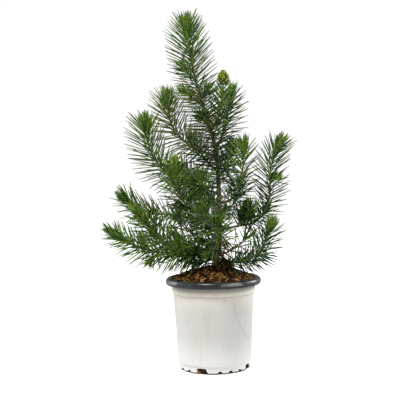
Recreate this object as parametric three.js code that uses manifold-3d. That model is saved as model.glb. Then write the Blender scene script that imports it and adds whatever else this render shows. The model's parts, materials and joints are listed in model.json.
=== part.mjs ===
import * as THREE from "three";
import { mergeVertices } from "three/addons/utils/BufferGeometryUtils.js";
import Module from "manifold-3d";

// A young stone pine, still in its single juvenile needles, in a white nursery pot with a dark rim.
// Millimetres, +Z up. The origin is the middle of the pot's flat underside. The front faces -Y.

// Clearance between neighbouring pieces, what is added to it where flat faces stand for a round
// limb, and the clearance between the needles of two masses.
const GAP = 0.3;
const FACET_GAP = 0.1;
const NEEDLE_GAP = 0.4;

// Pot: a tapered shell with a stepped foot, a collar under the rim and notches round the foot.
const RIM_RADIUS = 70;
const FOOT_RADIUS = 51.4;
const FOOT_HEIGHT = 11;
const FOOT_FLARE = 0.7;
const STEP_WIDTH = 1.9;
const STEP_HEIGHT = 0.6;
const WALL = 1.6;
const WALL_TOP = 130.4;
const WALL_TOP_RADIUS = 61.7;
const WAIST_HEIGHT = 68;
const WAIST_RADIUS = 56.7;
const COLLAR_HEIGHT = 112;
const COLLAR_RADIUS = 59.8;
const COLLAR_STEP = 0.9;
const RIM_BOTTOM = 124.4;
const RIM_TOP = 134.5;
const POT_SIDES = 36;
const NOTCH = { count: 4, first: -19, bottomWidth: 15, topWidth: 10.5, height: 8.5 };
const SCALLOP = { radius: 3, offsets: [-18, 0, 18], sides: 6 };
const CUT_DEPTH = 9;
const CUT_INSET = WALL + 0.4;

// Soil: bark and coir, heaped up to the trunk.
const SOIL_TOP = 149;
const SOIL_EDGE = 131;
const SOIL_RINGS = [42, 24, 9];
const SOIL_ROUGHNESS = 0.9;
const SOIL_WAVES = [0.31, 0.27, 0.52, 0.2];
const HEAP_POWER = 1.35;

// Trunk: its foot, its length and how its climb changes from the ground to its tip, in degrees.
// A climb over 90 leans towards the viewer's left.
const TRUNK_FOOT = new THREE.Vector3(5, 0, SOIL_TOP + GAP);
const TRUNK_LENGTH = 330;
const TRUNK_CLIMB = [82, 86, 92, 91, 101, 107, 105, 100];
const TRUNK_TAPER = 0.8;
const TRUNK_RADIUS = 3.9;
const TRUNK_TIP_RADIUS = 1.3;
const FLARE = 2.6;
const FLARE_HEIGHT = 11;
const TRUNK_SIDES = 8;
const TRUNK_STEP = 14;

// Boughs and the stems inside the needle masses.
const BOUGH_RADIUS = 1.9;
const BOUGH_TIP_RADIUS = 1.45;
const STEM_RADIUS = 1.7;
const STEM_TIP_RADIUS = 1.3;
const TWIG_RADIUS = 1.3;
const BOUGH_SIDES = 5;
const STEM_SIDES = 3;
const AXIS_STEP = 13;

// Needles: length and root radius, the pitch between them, and how their lean from the stem in degrees
// and their share of the full length change along a shoot from its inner end to its tip.
const NEEDLE_LENGTH = 35;
const NEEDLE_RADIUS = 1.2;
const NEEDLE_PITCH = 2.7;
const SLEEVE_PITCH = 3.3;
const STEM_TWIST = 26;
const NEEDLE_LEAN = [72, 60, 46, 20];
const NEEDLE_REACH = [0.8, 1, 1.04, 0.74];
const NEEDLE_PARTS = 3;
const LEAN_SPREAD = 9;
const REACH_SPREAD = 0.2;
const TURN_SPREAD = 0.5;
const OWN_SPACE = 4.5;
const POT_CLEARANCE = 2;
const SOIL_CLEARANCE = 3.5;
const CROWN_SEED = 20817;

// A side twig: its needles' lean and length, how far it curves up and how slim its tip gets.
const TWIG_SHAPE = { lean: [58, 42, 24], reach: [0.62, 0.72, 0.6] };
const TWIG_CURVE = 14;
const TWIG_TAPER = 0.85;

// Each shoot leaves the trunk at a height. Its bearing is measured from +X towards +Y, so 270 comes
// straight at the viewer, and its climb from level. Both ease from station to station along its
// length, of which the last TUFT is needles alone. "bare" is the share of the length that is bough,
// and twigs are the side shoots that stand out, each at a share of the length.
const TUFT = 20;
const SHOOTS = [
  {
    name: "crown_bud", height: 348, length: 90, bearing: [330, 285], climb: [50, 75, 76], bare: 0.16,
    bud: true,
  },
  { name: "right_upper", height: 320, length: 105, bearing: [35, 55], climb: [55, 75, 65], bare: 0.15 },
  { name: "left_upper", height: 311, length: 145, bearing: [180, 162], climb: [20, 35, 72, 100], bare: 0.17 },
  {
    name: "left_middle", height: 266, length: 178, bearing: [185, 200], climb: [-5, 24, 58, 108], bare: 0.18,
    twigs: [{ at: 0.74, bearing: 340, climb: 60, length: 20 }],
  },
  {
    name: "front_left", height: 216, length: 138, bearing: [200, 265], climb: [5, 45, 65], bare: 0.18,
    twigs: [{ at: 0.5, bearing: 345, climb: 35, length: 22 }],
  },
  { name: "front_middle", height: 239, length: 102, bearing: [235, 270], climb: [20, 35, 38], bare: 0.18 },
  {
    name: "left_lower", height: 200, length: 168, bearing: [195, 200], climb: [40, 10, 10, 72], bare: 0.14,
    twigs: [{ at: 0.5, bearing: 235, climb: 30, length: 22 }],
  },
  {
    name: "front_low_left", height: 160, length: 160, bearing: [208, 222], climb: [6, 20, 48, 52], bare: 0.17,
    twigs: [{ at: 0.55, bearing: 150, climb: 30, length: 20 }],
  },
  {
    name: "left_bottom", height: 157, length: 178, bearing: [176, 170], climb: [20, 0, 20, 42], bare: 0.14,
    twigs: [
      { at: 0.5, bearing: 195, climb: -62, length: 16 },
      { at: 0.6, bearing: 110, climb: 22, length: 22 },
    ],
  },
  { name: "centre_left", height: 257, length: 92, bearing: [165, 155], climb: [10, 35, 66], bare: 0.18 },
  { name: "left_inner", height: 172, length: 96, bearing: [155, 140], climb: [5, 20, 40], bare: 0.18 },
  { name: "front_low", height: 173, length: 93, bearing: [272, 268], climb: [40, 35, 35], bare: 0.2 },
  { name: "front_centre", height: 196, length: 103, bearing: [240, 272], climb: [25, 30, 36], bare: 0.2 },
  {
    name: "right_middle", height: 202, length: 198, bearing: [355, 345], climb: [20, 8, 67, 94, 74, 36],
    bare: 0.17,
    twigs: [
      { at: 0.25, bearing: 250, climb: 68, length: 22 },
      { at: 0.6, bearing: 340, climb: 22, length: 16 },
    ],
  },
  {
    name: "right_inner", height: 243, length: 118, bearing: [350, 250], climb: [0, 65, 80, 68], bare: 0.18,
    twigs: [{ at: 0.66, bearing: 355, climb: 52, length: 18 }],
  },
  {
    name: "right_bottom", height: 154, length: 125, bearing: [350, 326], climb: [0, 12, 66, 68], bare: 0.17,
    twigs: [{ at: 0.56, bearing: 190, climb: 50, length: 16 }],
  },
  { name: "back_upper_left", height: 288, length: 96, bearing: [130, 115], climb: [30, 38, 60], bare: 0.17 },
  { name: "back_upper_right", height: 279, length: 92, bearing: [65, 75], climb: [25, 38, 62], bare: 0.17 },
  {
    name: "back_middle_left", height: 232, length: 116, bearing: [125, 105], climb: [15, 25, 60],
    bare: 0.17,
  },
  { name: "back_middle_right", height: 223, length: 110, bearing: [55, 80], climb: [15, 30, 60], bare: 0.17 },
  {
    name: "back_bottom_left", height: 179, length: 126, bearing: [135, 120], climb: [15, 15, 54], bare: 0.17,
    twigs: [{ at: 0.5, bearing: 75, climb: 25, length: 20 }],
  },
  { name: "back_bottom_right", height: 165, length: 104, bearing: [48, 62], climb: [5, 15, 45], bare: 0.17 },
  {
    name: "back_middle", height: 194, length: 128, bearing: [100, 85], climb: [15, 20, 50], bare: 0.17,
    twigs: [{ at: 0.5, bearing: 40, climb: 25, length: 20 }],
  },
];

// The leader's needles sit in four sleeves round the trunk, by height, with small side tufts. A brush
// of needles stands on the trunk's tip.
const SLEEVES = [
  { name: "leader_foot", from: 300, to: 352, lean: [70, 62], twigs: [] },
  {
    name: "leader_lower", from: 354, to: 400, lean: [66, 58],
    twigs: [
      { height: 389, bearing: 200, climb: 34, length: 21 },
      { height: 392, bearing: 305, climb: 42, length: 24 },
    ],
  },
  {
    name: "leader_middle", from: 402, to: 442, lean: [62, 52],
    twigs: [{ height: 428, bearing: 200, climb: 40, length: 20 }],
  },
  {
    name: "leader_upper", from: 444, to: 471, lean: [54, 46],
    twigs: [{ height: 452, bearing: 345, climb: 30, length: 14 }],
  },
];
const SLEEVE_WALL = 1.1;
const SLEEVE_REACH = [1.08, 1.12];
const LEADER_TIP = {
  length: 22, radius: 1.5, pitch: 2.2, climb: [98, 92], lean: [46, 36, 16], reach: [1.15, 1, 0.72],
};

// The swelling bud on one shoot's tip: its radius, its height against its width, and the share of it
// that sits down over the stem.
const BUD_RADIUS = 8.2;
const BUD_STRETCH = 1.15;
const BUD_SHARE = 0.28;

const wasm = await Module();
wasm.setup();

// A closed solid from a geometry whose shared vertices are merged.
function solidOf(geometry) {
  const bare = geometry.clone();
  bare.deleteAttribute("normal");
  bare.deleteAttribute("uv");
  const merged = mergeVertices(bare, 1e-4);
  return new wasm.Manifold(
    new wasm.Mesh({
      numProp: 3,
      vertProperties: merged.getAttribute("position").array,
      triVerts: new Uint32Array(merged.index.array),
    }),
  );
}

// The geometry of a solid, with flat faces.
function geometryOf(solid) {
  const mesh = solid.getMesh();
  const places = new Float32Array(mesh.numVert * 3);
  for (let i = 0; i < mesh.numVert; i += 1) {
    for (let axis = 0; axis < 3; axis += 1) {
      places[i * 3 + axis] = mesh.vertProperties[i * mesh.numProp + axis];
    }
  }
  const geometry = new THREE.BufferGeometry();
  geometry.setAttribute("position", new THREE.BufferAttribute(places, 3));
  geometry.setIndex(new THREE.BufferAttribute(new Uint32Array(mesh.triVerts), 1));
  const flat = geometry.toNonIndexed();
  flat.computeVertexNormals();
  return flat;
}

// The largest body of a solid: a sealed hollow closes and a loose scrap goes.
function largestBody(solid) {
  const bodies = solid.decompose();
  return bodies.reduce((best, body) => (body.volume() > best.volume() ? body : best));
}

const plant = new THREE.Group();
plant.name = "potted_stone_pine";

function addPiece(name, geometry, colour, roughness) {
  const finish = new THREE.MeshStandardMaterial({ color: colour, roughness, metalness: 0 });
  const mesh = new THREE.Mesh(geometry, finish);
  mesh.name = name;
  plant.add(mesh);
}

// A seeded stream of numbers from 0 to 1.
function seededRandom(seed) {
  let state = seed % 2147483647;
  return () => {
    state = (state * 48271) % 2147483647;
    return state / 2147483647;
  };
}

// A value that runs evenly through a list of stations as s goes from 0 to 1.
function eased(stations, s) {
  const place = Math.min(Math.max(s, 0), 1) * (stations.length - 1);
  const lower = Math.min(Math.floor(place), stations.length - 2);
  return THREE.MathUtils.lerp(stations[lower], stations[lower + 1], place - lower);
}

function heading(bearing, climb) {
  const b = THREE.MathUtils.degToRad(bearing);
  const c = THREE.MathUtils.degToRad(climb);
  return new THREE.Vector3(Math.cos(c) * Math.cos(b), Math.cos(c) * Math.sin(b), Math.sin(c));
}

// An axis grown in equal steps from a start, as a list of points.
function growAxis(start, length, bearings, climbs, step) {
  const count = Math.max(2, Math.round(length / step));
  const points = [start.clone()];
  for (let i = 0; i < count; i += 1) {
    const s = (i + 0.5) / count;
    const next = points[i].clone();
    next.addScaledVector(heading(eased(bearings, s), eased(climbs, s)), length / count);
    points.push(next);
  }
  return points;
}

// The stretch of an axis between two distances along it, in equal steps.
function stretchOf(points, from, to, step) {
  const curve = new THREE.CatmullRomCurve3(points, false, "centripetal");
  const total = curve.getLength();
  const count = Math.max(2, Math.round((to - from) / step));
  return Array.from({ length: count + 1 }, (_, i) => {
    const distance = THREE.MathUtils.lerp(from, to, i / count);
    return curve.getPointAt(distance / total);
  });
}

// Frames carried along an axis without twist.
function framesAlong(points) {
  let across = null;
  return points.map((point, i) => {
    const before = points[Math.max(i - 1, 0)];
    const after = points[Math.min(i + 1, points.length - 1)];
    const along = after.clone().sub(before).normalize();
    if (!across) {
      across = Math.abs(along.z) > 0.9 ? new THREE.Vector3(1, 0, 0) : new THREE.Vector3(0, 0, 1);
    }
    across = across.clone().addScaledVector(along, -across.dot(along)).normalize();
    return { point, along, across, beside: across.clone().cross(along) };
  });
}

// A lathe wrapped round an axis: a profile point is a radius and the number of a frame.
function wrapLathe(profile, sides, frames) {
  const geometry = new THREE.LatheGeometry(profile, sides);
  const places = geometry.getAttribute("position");
  for (let i = 0; i < places.count; i += 1) {
    const frame = frames[Math.round(places.getY(i))];
    const moved = frame.point.clone();
    moved.addScaledVector(frame.across, places.getX(i));
    moved.addScaledVector(frame.beside, places.getZ(i));
    places.setXYZ(i, moved.x, moved.y, moved.z);
  }
  return geometry;
}

// The lathe profile of a tapering limb, closed at both ends.
function limbProfile(count, radiusAt) {
  const rings = Array.from({ length: count }, (_, i) => new THREE.Vector2(radiusAt(i / (count - 1)), i));
  return [new THREE.Vector2(0, 0), ...rings, new THREE.Vector2(0, count - 1)];
}

// A solid tapering limb along an axis.
function limbSolid(points, radiusAt, sides) {
  return solidOf(wrapLathe(limbProfile(points.length, radiusAt), sides, framesAlong(points)));
}

// Pot shell, notched round its foot.
const potOutline = [
  [FOOT_RADIUS, 0],
  [FOOT_RADIUS + FOOT_FLARE, FOOT_HEIGHT],
  [FOOT_RADIUS + FOOT_FLARE + STEP_WIDTH, FOOT_HEIGHT + STEP_HEIGHT],
  [WAIST_RADIUS, WAIST_HEIGHT],
  [COLLAR_RADIUS, COLLAR_HEIGHT],
  [COLLAR_RADIUS + COLLAR_STEP, COLLAR_HEIGHT + COLLAR_STEP],
  [WALL_TOP_RADIUS, WALL_TOP],
];
const potInside = potOutline.slice(1).map(([radius, height]) => [radius - WALL, height]);
const potProfile = [
  [0, 0],
  ...potOutline,
  ...potInside.toReversed(),
  [FOOT_RADIUS - WALL, WALL],
  [0, WALL],
].map(([radius, height]) => new THREE.Vector2(radius, height));

function latheUpright(profile, sides) {
  const geometry = new THREE.LatheGeometry(profile, sides);
  geometry.rotateX(Math.PI / 2);
  return geometry;
}

// Turns a cutter that points at the viewer to an angle round the pot, positive to the viewer's right.
function turnedTo(geometry, angle) {
  return geometry.clone().rotateZ(THREE.MathUtils.degToRad(angle));
}

const notchShape = new THREE.Shape([
  new THREE.Vector2(-NOTCH.bottomWidth / 2, -1),
  new THREE.Vector2(NOTCH.bottomWidth / 2, -1),
  new THREE.Vector2(NOTCH.topWidth / 2, NOTCH.height),
  new THREE.Vector2(-NOTCH.topWidth / 2, NOTCH.height),
]);
const notchCutter = new THREE.ExtrudeGeometry(notchShape, { depth: CUT_DEPTH, bevelEnabled: false });
notchCutter.rotateX(Math.PI / 2);
notchCutter.translate(0, -FOOT_RADIUS + CUT_INSET, 0);
const scallopCutter = new THREE.CylinderGeometry(SCALLOP.radius, SCALLOP.radius, CUT_DEPTH, SCALLOP.sides);
scallopCutter.translate(0, -FOOT_RADIUS + CUT_INSET - CUT_DEPTH / 2, 0);

let pot = solidOf(latheUpright(potProfile, POT_SIDES));
for (let i = 0; i < NOTCH.count; i += 1) {
  const turn = 360 / NOTCH.count;
  const angle = NOTCH.first + i * turn;
  pot = pot.subtract(solidOf(turnedTo(notchCutter, angle)));
  for (const offset of SCALLOP.offsets) {
    pot = pot.subtract(solidOf(turnedTo(scallopCutter, angle + turn / 2 + offset)));
  }
}
addPiece("pot", geometryOf(largestBody(pot)), "#e4e1da", 0.5);

// Rim: a dark rolled ring that sits over the top edge of the wall.
const rimProfile = [
  [WALL_TOP_RADIUS + GAP, RIM_BOTTOM],
  [RIM_RADIUS - 0.9, RIM_BOTTOM],
  [RIM_RADIUS, RIM_BOTTOM + 1.4],
  [RIM_RADIUS, RIM_BOTTOM + 6.2],
  [RIM_RADIUS - 2, RIM_TOP - 0.4],
  [RIM_RADIUS - 6.4, RIM_TOP - 0.3],
  [WALL_TOP_RADIUS - 0.4, RIM_TOP - 1.9],
  [WALL_TOP_RADIUS - WALL + 0.2, WALL_TOP + GAP],
  [WALL_TOP_RADIUS + GAP, WALL_TOP + GAP],
  [WALL_TOP_RADIUS + GAP, RIM_BOTTOM],
].map(([radius, height]) => new THREE.Vector2(radius, height));
addPiece("pot_rim", latheUpright(rimProfile, POT_SIDES), "#474c51", 0.35);

// Height of the heaped soil at a distance from the pot's axis.
const soilRadius = WALL_TOP_RADIUS - WALL - GAP;
function soilHeight(radius) {
  const share = Math.min(radius / soilRadius, 1);
  return SOIL_EDGE + (SOIL_TOP - SOIL_EDGE) * (1 - share ** HEAP_POWER);
}

// Soil plug: it fills the pot, and its top is uneven. A flat seat is left for the trunk.
const seatRadius = SOIL_RINGS.at(-1) + TRUNK_FOOT.x;
const soilProfile = [
  [0, WALL + GAP],
  [FOOT_RADIUS - WALL - GAP, WALL + GAP],
  ...potInside.map(([radius, height]) => [radius - GAP, Math.min(height, SOIL_EDGE - 1)]),
  ...SOIL_RINGS.map((radius) => [radius, soilHeight(radius)]),
  [0, SOIL_TOP],
].map(([radius, height]) => new THREE.Vector2(radius, height));
const soilGeometry = latheUpright(soilProfile, POT_SIDES);
const soilPlaces = soilGeometry.getAttribute("position");
for (let i = 0; i < soilPlaces.count; i += 1) {
  const x = soilPlaces.getX(i);
  const y = soilPlaces.getY(i);
  const z = soilPlaces.getZ(i);
  const radius = Math.hypot(x, y);
  if (z > SOIL_EDGE && radius > seatRadius) {
    const [a, b, c, d] = SOIL_WAVES;
    const wave = Math.sin(x * a) * Math.cos(y * b) + Math.sin(y * c + x * d);
    soilPlaces.setZ(i, z + SOIL_ROUGHNESS * wave);
  } else if (z > SOIL_EDGE) {
    soilPlaces.setZ(i, SOIL_TOP);
  }
}
addPiece("soil", soilGeometry, "#6b4426", 0.95);

// Trunk: whole from the soil to its tip, flared at the ground. Its first step stands upright, so that
// its foot is a flat cut.
const trunkPoints = growAxis(TRUNK_FOOT, TRUNK_LENGTH, [0, 0], TRUNK_CLIMB, TRUNK_STEP);
trunkPoints[1].x = trunkPoints[0].x;
function trunkRadius(s) {
  const flare = FLARE * Math.exp((-s * TRUNK_LENGTH) / FLARE_HEIGHT);
  return THREE.MathUtils.lerp(TRUNK_RADIUS, TRUNK_TIP_RADIUS, s ** TRUNK_TAPER) + flare;
}
const trunk = limbSolid(trunkPoints, trunkRadius, TRUNK_SIDES);
const trunkRoom = limbSolid(trunkPoints, (s) => trunkRadius(s) + GAP + FACET_GAP, TRUNK_SIDES);
addPiece("trunk", geometryOf(trunk), "#6f5233", 0.9);

// The trunk's point at a height, and how far along the trunk that is, from 0 to 1.
function trunkAt(height) {
  const upper = trunkPoints.findIndex((point) => point.z >= height);
  const above = trunkPoints[upper];
  const below = trunkPoints[upper - 1];
  const share = (height - below.z) / (above.z - below.z);
  return { point: below.clone().lerp(above, share), s: (upper - 1 + share) / (trunkPoints.length - 1) };
}

// Every limb and needle is entered here as round-ended segments, so that a new needle can be kept clear.
const claims = [];

function claimSegment(owner, from, to, radius, isStem) {
  claims.push({
    owner,
    from,
    to,
    radius,
    isStem,
    middle: from.clone().lerp(to, 0.5),
    half: from.distanceTo(to) / 2,
  });
}

function claimLimb(owner, points, radiusAt, isStem) {
  const last = points.length - 1;
  for (let i = 0; i < last; i += 1) {
    const radius = Math.max(radiusAt(i / last), radiusAt((i + 1) / last));
    claimSegment(owner, points[i], points[i + 1], radius, isStem);
  }
}

// Shortest distance between the segments ab and cd.
function segmentDistance(a, b, c, d) {
  const u = b.clone().sub(a);
  const v = d.clone().sub(c);
  const w = a.clone().sub(c);
  const uu = u.dot(u);
  const uv = u.dot(v);
  const vv = v.dot(v);
  const uw = u.dot(w);
  const vw = v.dot(w);
  const spread = uu * vv - uv * uv;
  let s = spread > 1e-9 ? THREE.MathUtils.clamp((uv * vw - vv * uw) / spread, 0, 1) : 0;
  const t = THREE.MathUtils.clamp((uv * s + vw) / vv, 0, 1);
  s = THREE.MathUtils.clamp((uv * t - uw) / uu, 0, 1);
  return w.addScaledVector(u, s).addScaledVector(v, -t).length();
}

// Whether a round-ended segment would touch another limb or spray. Needles on the trunk leave it freely.
function isBlocked(owner, from, to, radius, isOnTrunk) {
  const middle = from.clone().lerp(to, 0.5);
  const half = from.distanceTo(to) / 2;
  return claims.some((claim) => {
    if (claim.owner === owner || (isOnTrunk && claim.owner === "trunk")) return false;
    const room = radius + claim.radius + NEEDLE_GAP;
    if (middle.distanceTo(claim.middle) > half + claim.half + room) return false;
    return segmentDistance(from, to, claim.from, claim.to) < room;
  });
}

// Whether a point comes too near the soil or the pot's rim.
function isInPot(point) {
  const radius = Math.hypot(point.x, point.y);
  if (radius < soilRadius) return point.z < soilHeight(radius) + SOIL_CLEARANCE;
  return radius < RIM_RADIUS + POT_CLEARANCE && point.z < RIM_TOP + POT_CLEARANCE;
}

// Whether a needle's end would enter the space of another mass, next to its stem.
function isInOtherSpace(owner, end) {
  return claims.some((claim) => {
    if (!claim.isStem || claim.owner === owner) return false;
    const nearest = new THREE.Line3(claim.from, claim.to).closestPointToPoint(end, true, new THREE.Vector3());
    return nearest.distanceTo(end) < OWN_SPACE;
  });
}

// Whether a needle from a root to its end finds room. If it does, it is entered as well.
function needleFits(owner, root, end, isOnTrunk) {
  const stops = Array.from({ length: NEEDLE_PARTS + 1 }, (_, i) => root.clone().lerp(end, i / NEEDLE_PARTS));
  const radii = stops.map((_, i) => NEEDLE_RADIUS * (1 - i / NEEDLE_PARTS));
  if (stops.some((stop) => isInPot(stop)) || isInOtherSpace(owner, end)) return false;
  for (let i = 0; i < NEEDLE_PARTS; i += 1) {
    if (isBlocked(owner, stops[i], stops[i + 1], radii[i], isOnTrunk)) return false;
  }
  for (let i = 0; i < NEEDLE_PARTS; i += 1) {
    claimSegment(owner, stops[i], stops[i + 1], radii[i], false);
  }
  return true;
}

// The end of the needle that a core runs out into.
function endNeedle(points, reach) {
  const tip = points.at(-1);
  const along = tip.clone().sub(points.at(-2)).normalize();
  return tip.clone().addScaledVector(along, NEEDLE_LENGTH * reach.at(-1));
}

// A spray: a slim core along an axis, with needles drawn out of its faces in a spiral. They lean
// further forward towards its tip, and the core itself ends in one, unless it is a sleeve on the trunk.
// "share" is the number of faces in three that carry a needle.
function spraySolid(owner, points, radiusAt, sides, random, options = {}) {
  const lean = options.lean || NEEDLE_LEAN;
  const reach = options.reach || NEEDLE_REACH;
  const frames = framesAlong(points);
  if (!options.isOnTrunk) {
    const tip = frames[frames.length - 1];
    frames.push({ ...tip, point: endNeedle(points, reach) });
  }
  const twist = THREE.MathUtils.degToRad(STEM_TWIST);
  frames.forEach((frame, i) => {
    frame.across.applyAxisAngle(frame.along, i * twist);
    frame.beside.applyAxisAngle(frame.along, i * twist);
  });
  const profile = limbProfile(points.length, radiusAt);
  profile[profile.length - 1].y = frames.length - 1;
  const geometry = wrapLathe(profile, sides, frames);
  const places = Array.from(geometry.getAttribute("position").array);
  const corners = geometry.index.array;
  const faces = [];
  const cornerAt = (i) => new THREE.Vector3().fromArray(places, i * 3);
  for (let quad = 0; quad < corners.length / 6; quad += 1) {
    const [a, b, d, c] = corners.slice(quad * 6, quad * 6 + 4);
    const ring = (quad % (profile.length - 1)) - 1;
    const side = Math.floor(quad / (profile.length - 1));
    const isBare = ring < 0 || ring >= points.length - 1 || (ring + side * 2) % 3 >= (options.share || 2);
    let apex = null;
    if (!isBare) {
      const s = (ring + 0.5) / (points.length - 1);
      const root = cornerAt(a).add(cornerAt(b)).add(cornerAt(c)).add(cornerAt(d)).multiplyScalar(0.25);
      const frame = frames[ring];
      const outward = root.clone().sub(frame.point);
      outward.addScaledVector(frame.along, -outward.dot(frame.along)).normalize();
      outward.applyAxisAngle(frame.along, TURN_SPREAD * (random() - 0.5));
      const angle = THREE.MathUtils.degToRad(eased(lean, s) + LEAN_SPREAD * (random() - 0.5));
      const length = NEEDLE_LENGTH * eased(reach, s) * (1 + REACH_SPREAD * (random() - 0.5));
      const end = root.clone().addScaledVector(frame.along, length * Math.cos(angle));
      end.addScaledVector(outward, length * Math.sin(angle));
      if (needleFits(owner, root, end, options.isOnTrunk)) apex = end;
    }
    if (apex) {
      const tip = places.length / 3;
      places.push(apex.x, apex.y, apex.z);
      faces.push(a, b, tip, b, c, tip, c, d, tip, d, a, tip);
    } else {
      faces.push(a, b, d, c, d, b);
    }
  }
  const spray = new THREE.BufferGeometry();
  spray.setAttribute("position", new THREE.Float32BufferAttribute(places, 3));
  spray.setIndex(faces);
  return solidOf(spray);
}

// A side twig as a list of points, curving upwards.
function twigPoints(start, twig) {
  const climbs = [twig.climb, twig.climb + TWIG_CURVE];
  return growAxis(start, twig.length, [twig.bearing, twig.bearing], climbs, NEEDLE_PITCH);
}

const stemRadius = (s) => THREE.MathUtils.lerp(STEM_RADIUS, STEM_TIP_RADIUS, s);
const twigRadius = (s) => THREE.MathUtils.lerp(TWIG_RADIUS, TWIG_RADIUS * TWIG_TAPER, s);
const boughRadius = (s) => THREE.MathUtils.lerp(BOUGH_RADIUS, BOUGH_TIP_RADIUS, s);

function claimTwig(owner, points) {
  claimLimb(owner, points, twigRadius, true);
  claimSegment(owner, points.at(-1), endNeedle(points, TWIG_SHAPE.reach), NEEDLE_RADIUS, false);
}

// Boughs and stems are laid out first, so that needles are kept clear of all of them.
claimLimb("trunk", trunkPoints, trunkRadius, false);
const shoots = SHOOTS.map((shoot, index) => {
  const start = trunkAt(shoot.height).point;
  const axis = growAxis(start, shoot.length, shoot.bearing, shoot.climb, AXIS_STEP / 2);
  const join = shoot.length * shoot.bare;
  const bough = stretchOf(axis, 0, join, AXIS_STEP);
  const stem = stretchOf(axis, join + GAP + FACET_GAP, shoot.length - TUFT, NEEDLE_PITCH);
  const curve = new THREE.CatmullRomCurve3(axis, false, "centripetal");
  const twigs = (shoot.twigs || []).map((twig) => twigPoints(curve.getPointAt(twig.at), twig));
  claimLimb(`bough_${shoot.name}`, bough, boughRadius, false);
  claimLimb(`needles_${shoot.name}`, stem, stemRadius, true);
  claimSegment(`needles_${shoot.name}`, stem.at(-1), endNeedle(stem, NEEDLE_REACH), NEEDLE_RADIUS, false);
  twigs.forEach((points, i) => claimTwig(`twig_${shoot.name}_${i}`, points));
  return { ...shoot, bough, stem, twigs, random: seededRandom(CROWN_SEED + index * 977) };
});

const boughColour = "#6e5230";
const needleColours = ["#2f5a34", "#35663a", "#2c5540"];
const boughRooms = [];
shoots.forEach((shoot) => {
  const bough = limbSolid(shoot.bough, boughRadius, BOUGH_SIDES).subtract(trunkRoom);
  addPiece(`bough_${shoot.name}`, geometryOf(largestBody(bough)), boughColour, 0.9);
  boughRooms.push(limbSolid(shoot.bough, (s) => boughRadius(s) + GAP + FACET_GAP, BOUGH_SIDES));
});

// Leader: sleeves of needles round the trunk, cut clear of it and of the boughs, and a brush at the tip.
const sleeves = SLEEVES.map((sleeve) => {
  const low = trunkAt(sleeve.from).s;
  const high = trunkAt(sleeve.to).s;
  const points = stretchOf(trunkPoints, low * TRUNK_LENGTH, high * TRUNK_LENGTH, SLEEVE_PITCH);
  const radiusAt = (s) => trunkRadius(low + (high - low) * s) + GAP + SLEEVE_WALL;
  claimLimb(`needles_${sleeve.name}`, points.slice(1, -1), radiusAt, false);
  sleeve.twigs.forEach((twig, i) => {
    claimTwig(`twig_${sleeve.name}_${i}`, twigPoints(trunkAt(twig.height).point, twig));
  });
  return { ...sleeve, points, radiusAt };
});
sleeves.forEach((sleeve, index) => {
  const owner = `needles_${sleeve.name}`;
  const random = seededRandom(CROWN_SEED + 501 + index * 31);
  const { points, radiusAt } = sleeve;
  const shape = { lean: sleeve.lean, reach: SLEEVE_REACH, share: 1, isOnTrunk: true };
  let mass = spraySolid(owner, points, radiusAt, TRUNK_SIDES, random, shape);
  sleeve.twigs.forEach((twig, i) => {
    const side = twigPoints(trunkAt(twig.height).point, twig);
    mass = mass.add(spraySolid(`twig_${sleeve.name}_${i}`, side, twigRadius, STEM_SIDES, random, TWIG_SHAPE));
  });
  mass = mass.subtract(trunkRoom);
  boughRooms.forEach((room) => {
    mass = mass.subtract(room);
  });
  addPiece(owner, geometryOf(largestBody(mass)), needleColours[0], 0.8);
});

const tipDirection = trunkPoints.at(-1).clone().sub(trunkPoints.at(-2)).normalize();
const tipStart = trunkPoints.at(-1).clone().addScaledVector(tipDirection, GAP + FACET_GAP);
const tipPoints = growAxis(tipStart, LEADER_TIP.length, [0, 0], LEADER_TIP.climb, LEADER_TIP.pitch);
const tipSolid = spraySolid(
  "needles_leader_tip",
  tipPoints,
  () => LEADER_TIP.radius,
  STEM_SIDES + 1,
  seededRandom(CROWN_SEED + 777),
  LEADER_TIP,
);
addPiece("needles_leader_tip", geometryOf(largestBody(tipSolid)), "#4a7a34", 0.8);

// The masses on the boughs.
shoots.forEach((shoot, index) => {
  const owner = `needles_${shoot.name}`;
  let mass = spraySolid(owner, shoot.stem, stemRadius, STEM_SIDES, shoot.random);
  shoot.twigs.forEach((points, i) => {
    const twig = `twig_${shoot.name}_${i}`;
    mass = mass.add(spraySolid(twig, points, twigRadius, STEM_SIDES, shoot.random, TWIG_SHAPE));
  });
  if (shoot.bud) {
    const bud = new THREE.SphereGeometry(BUD_RADIUS, 8, 6).scale(1, 1, BUD_STRETCH);
    const top = shoot.stem.at(-1);
    bud.translate(top.x, top.y, top.z + BUD_RADIUS * (1 - BUD_SHARE));
    mass = mass.add(solidOf(bud));
  }
  addPiece(owner, geometryOf(largestBody(mass)), needleColours[index % needleColours.length], 0.8);
});

export default plant;
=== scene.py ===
import json
import math
import random

import bmesh
import bpy
from mathutils import Matrix, Vector, noise

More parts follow.
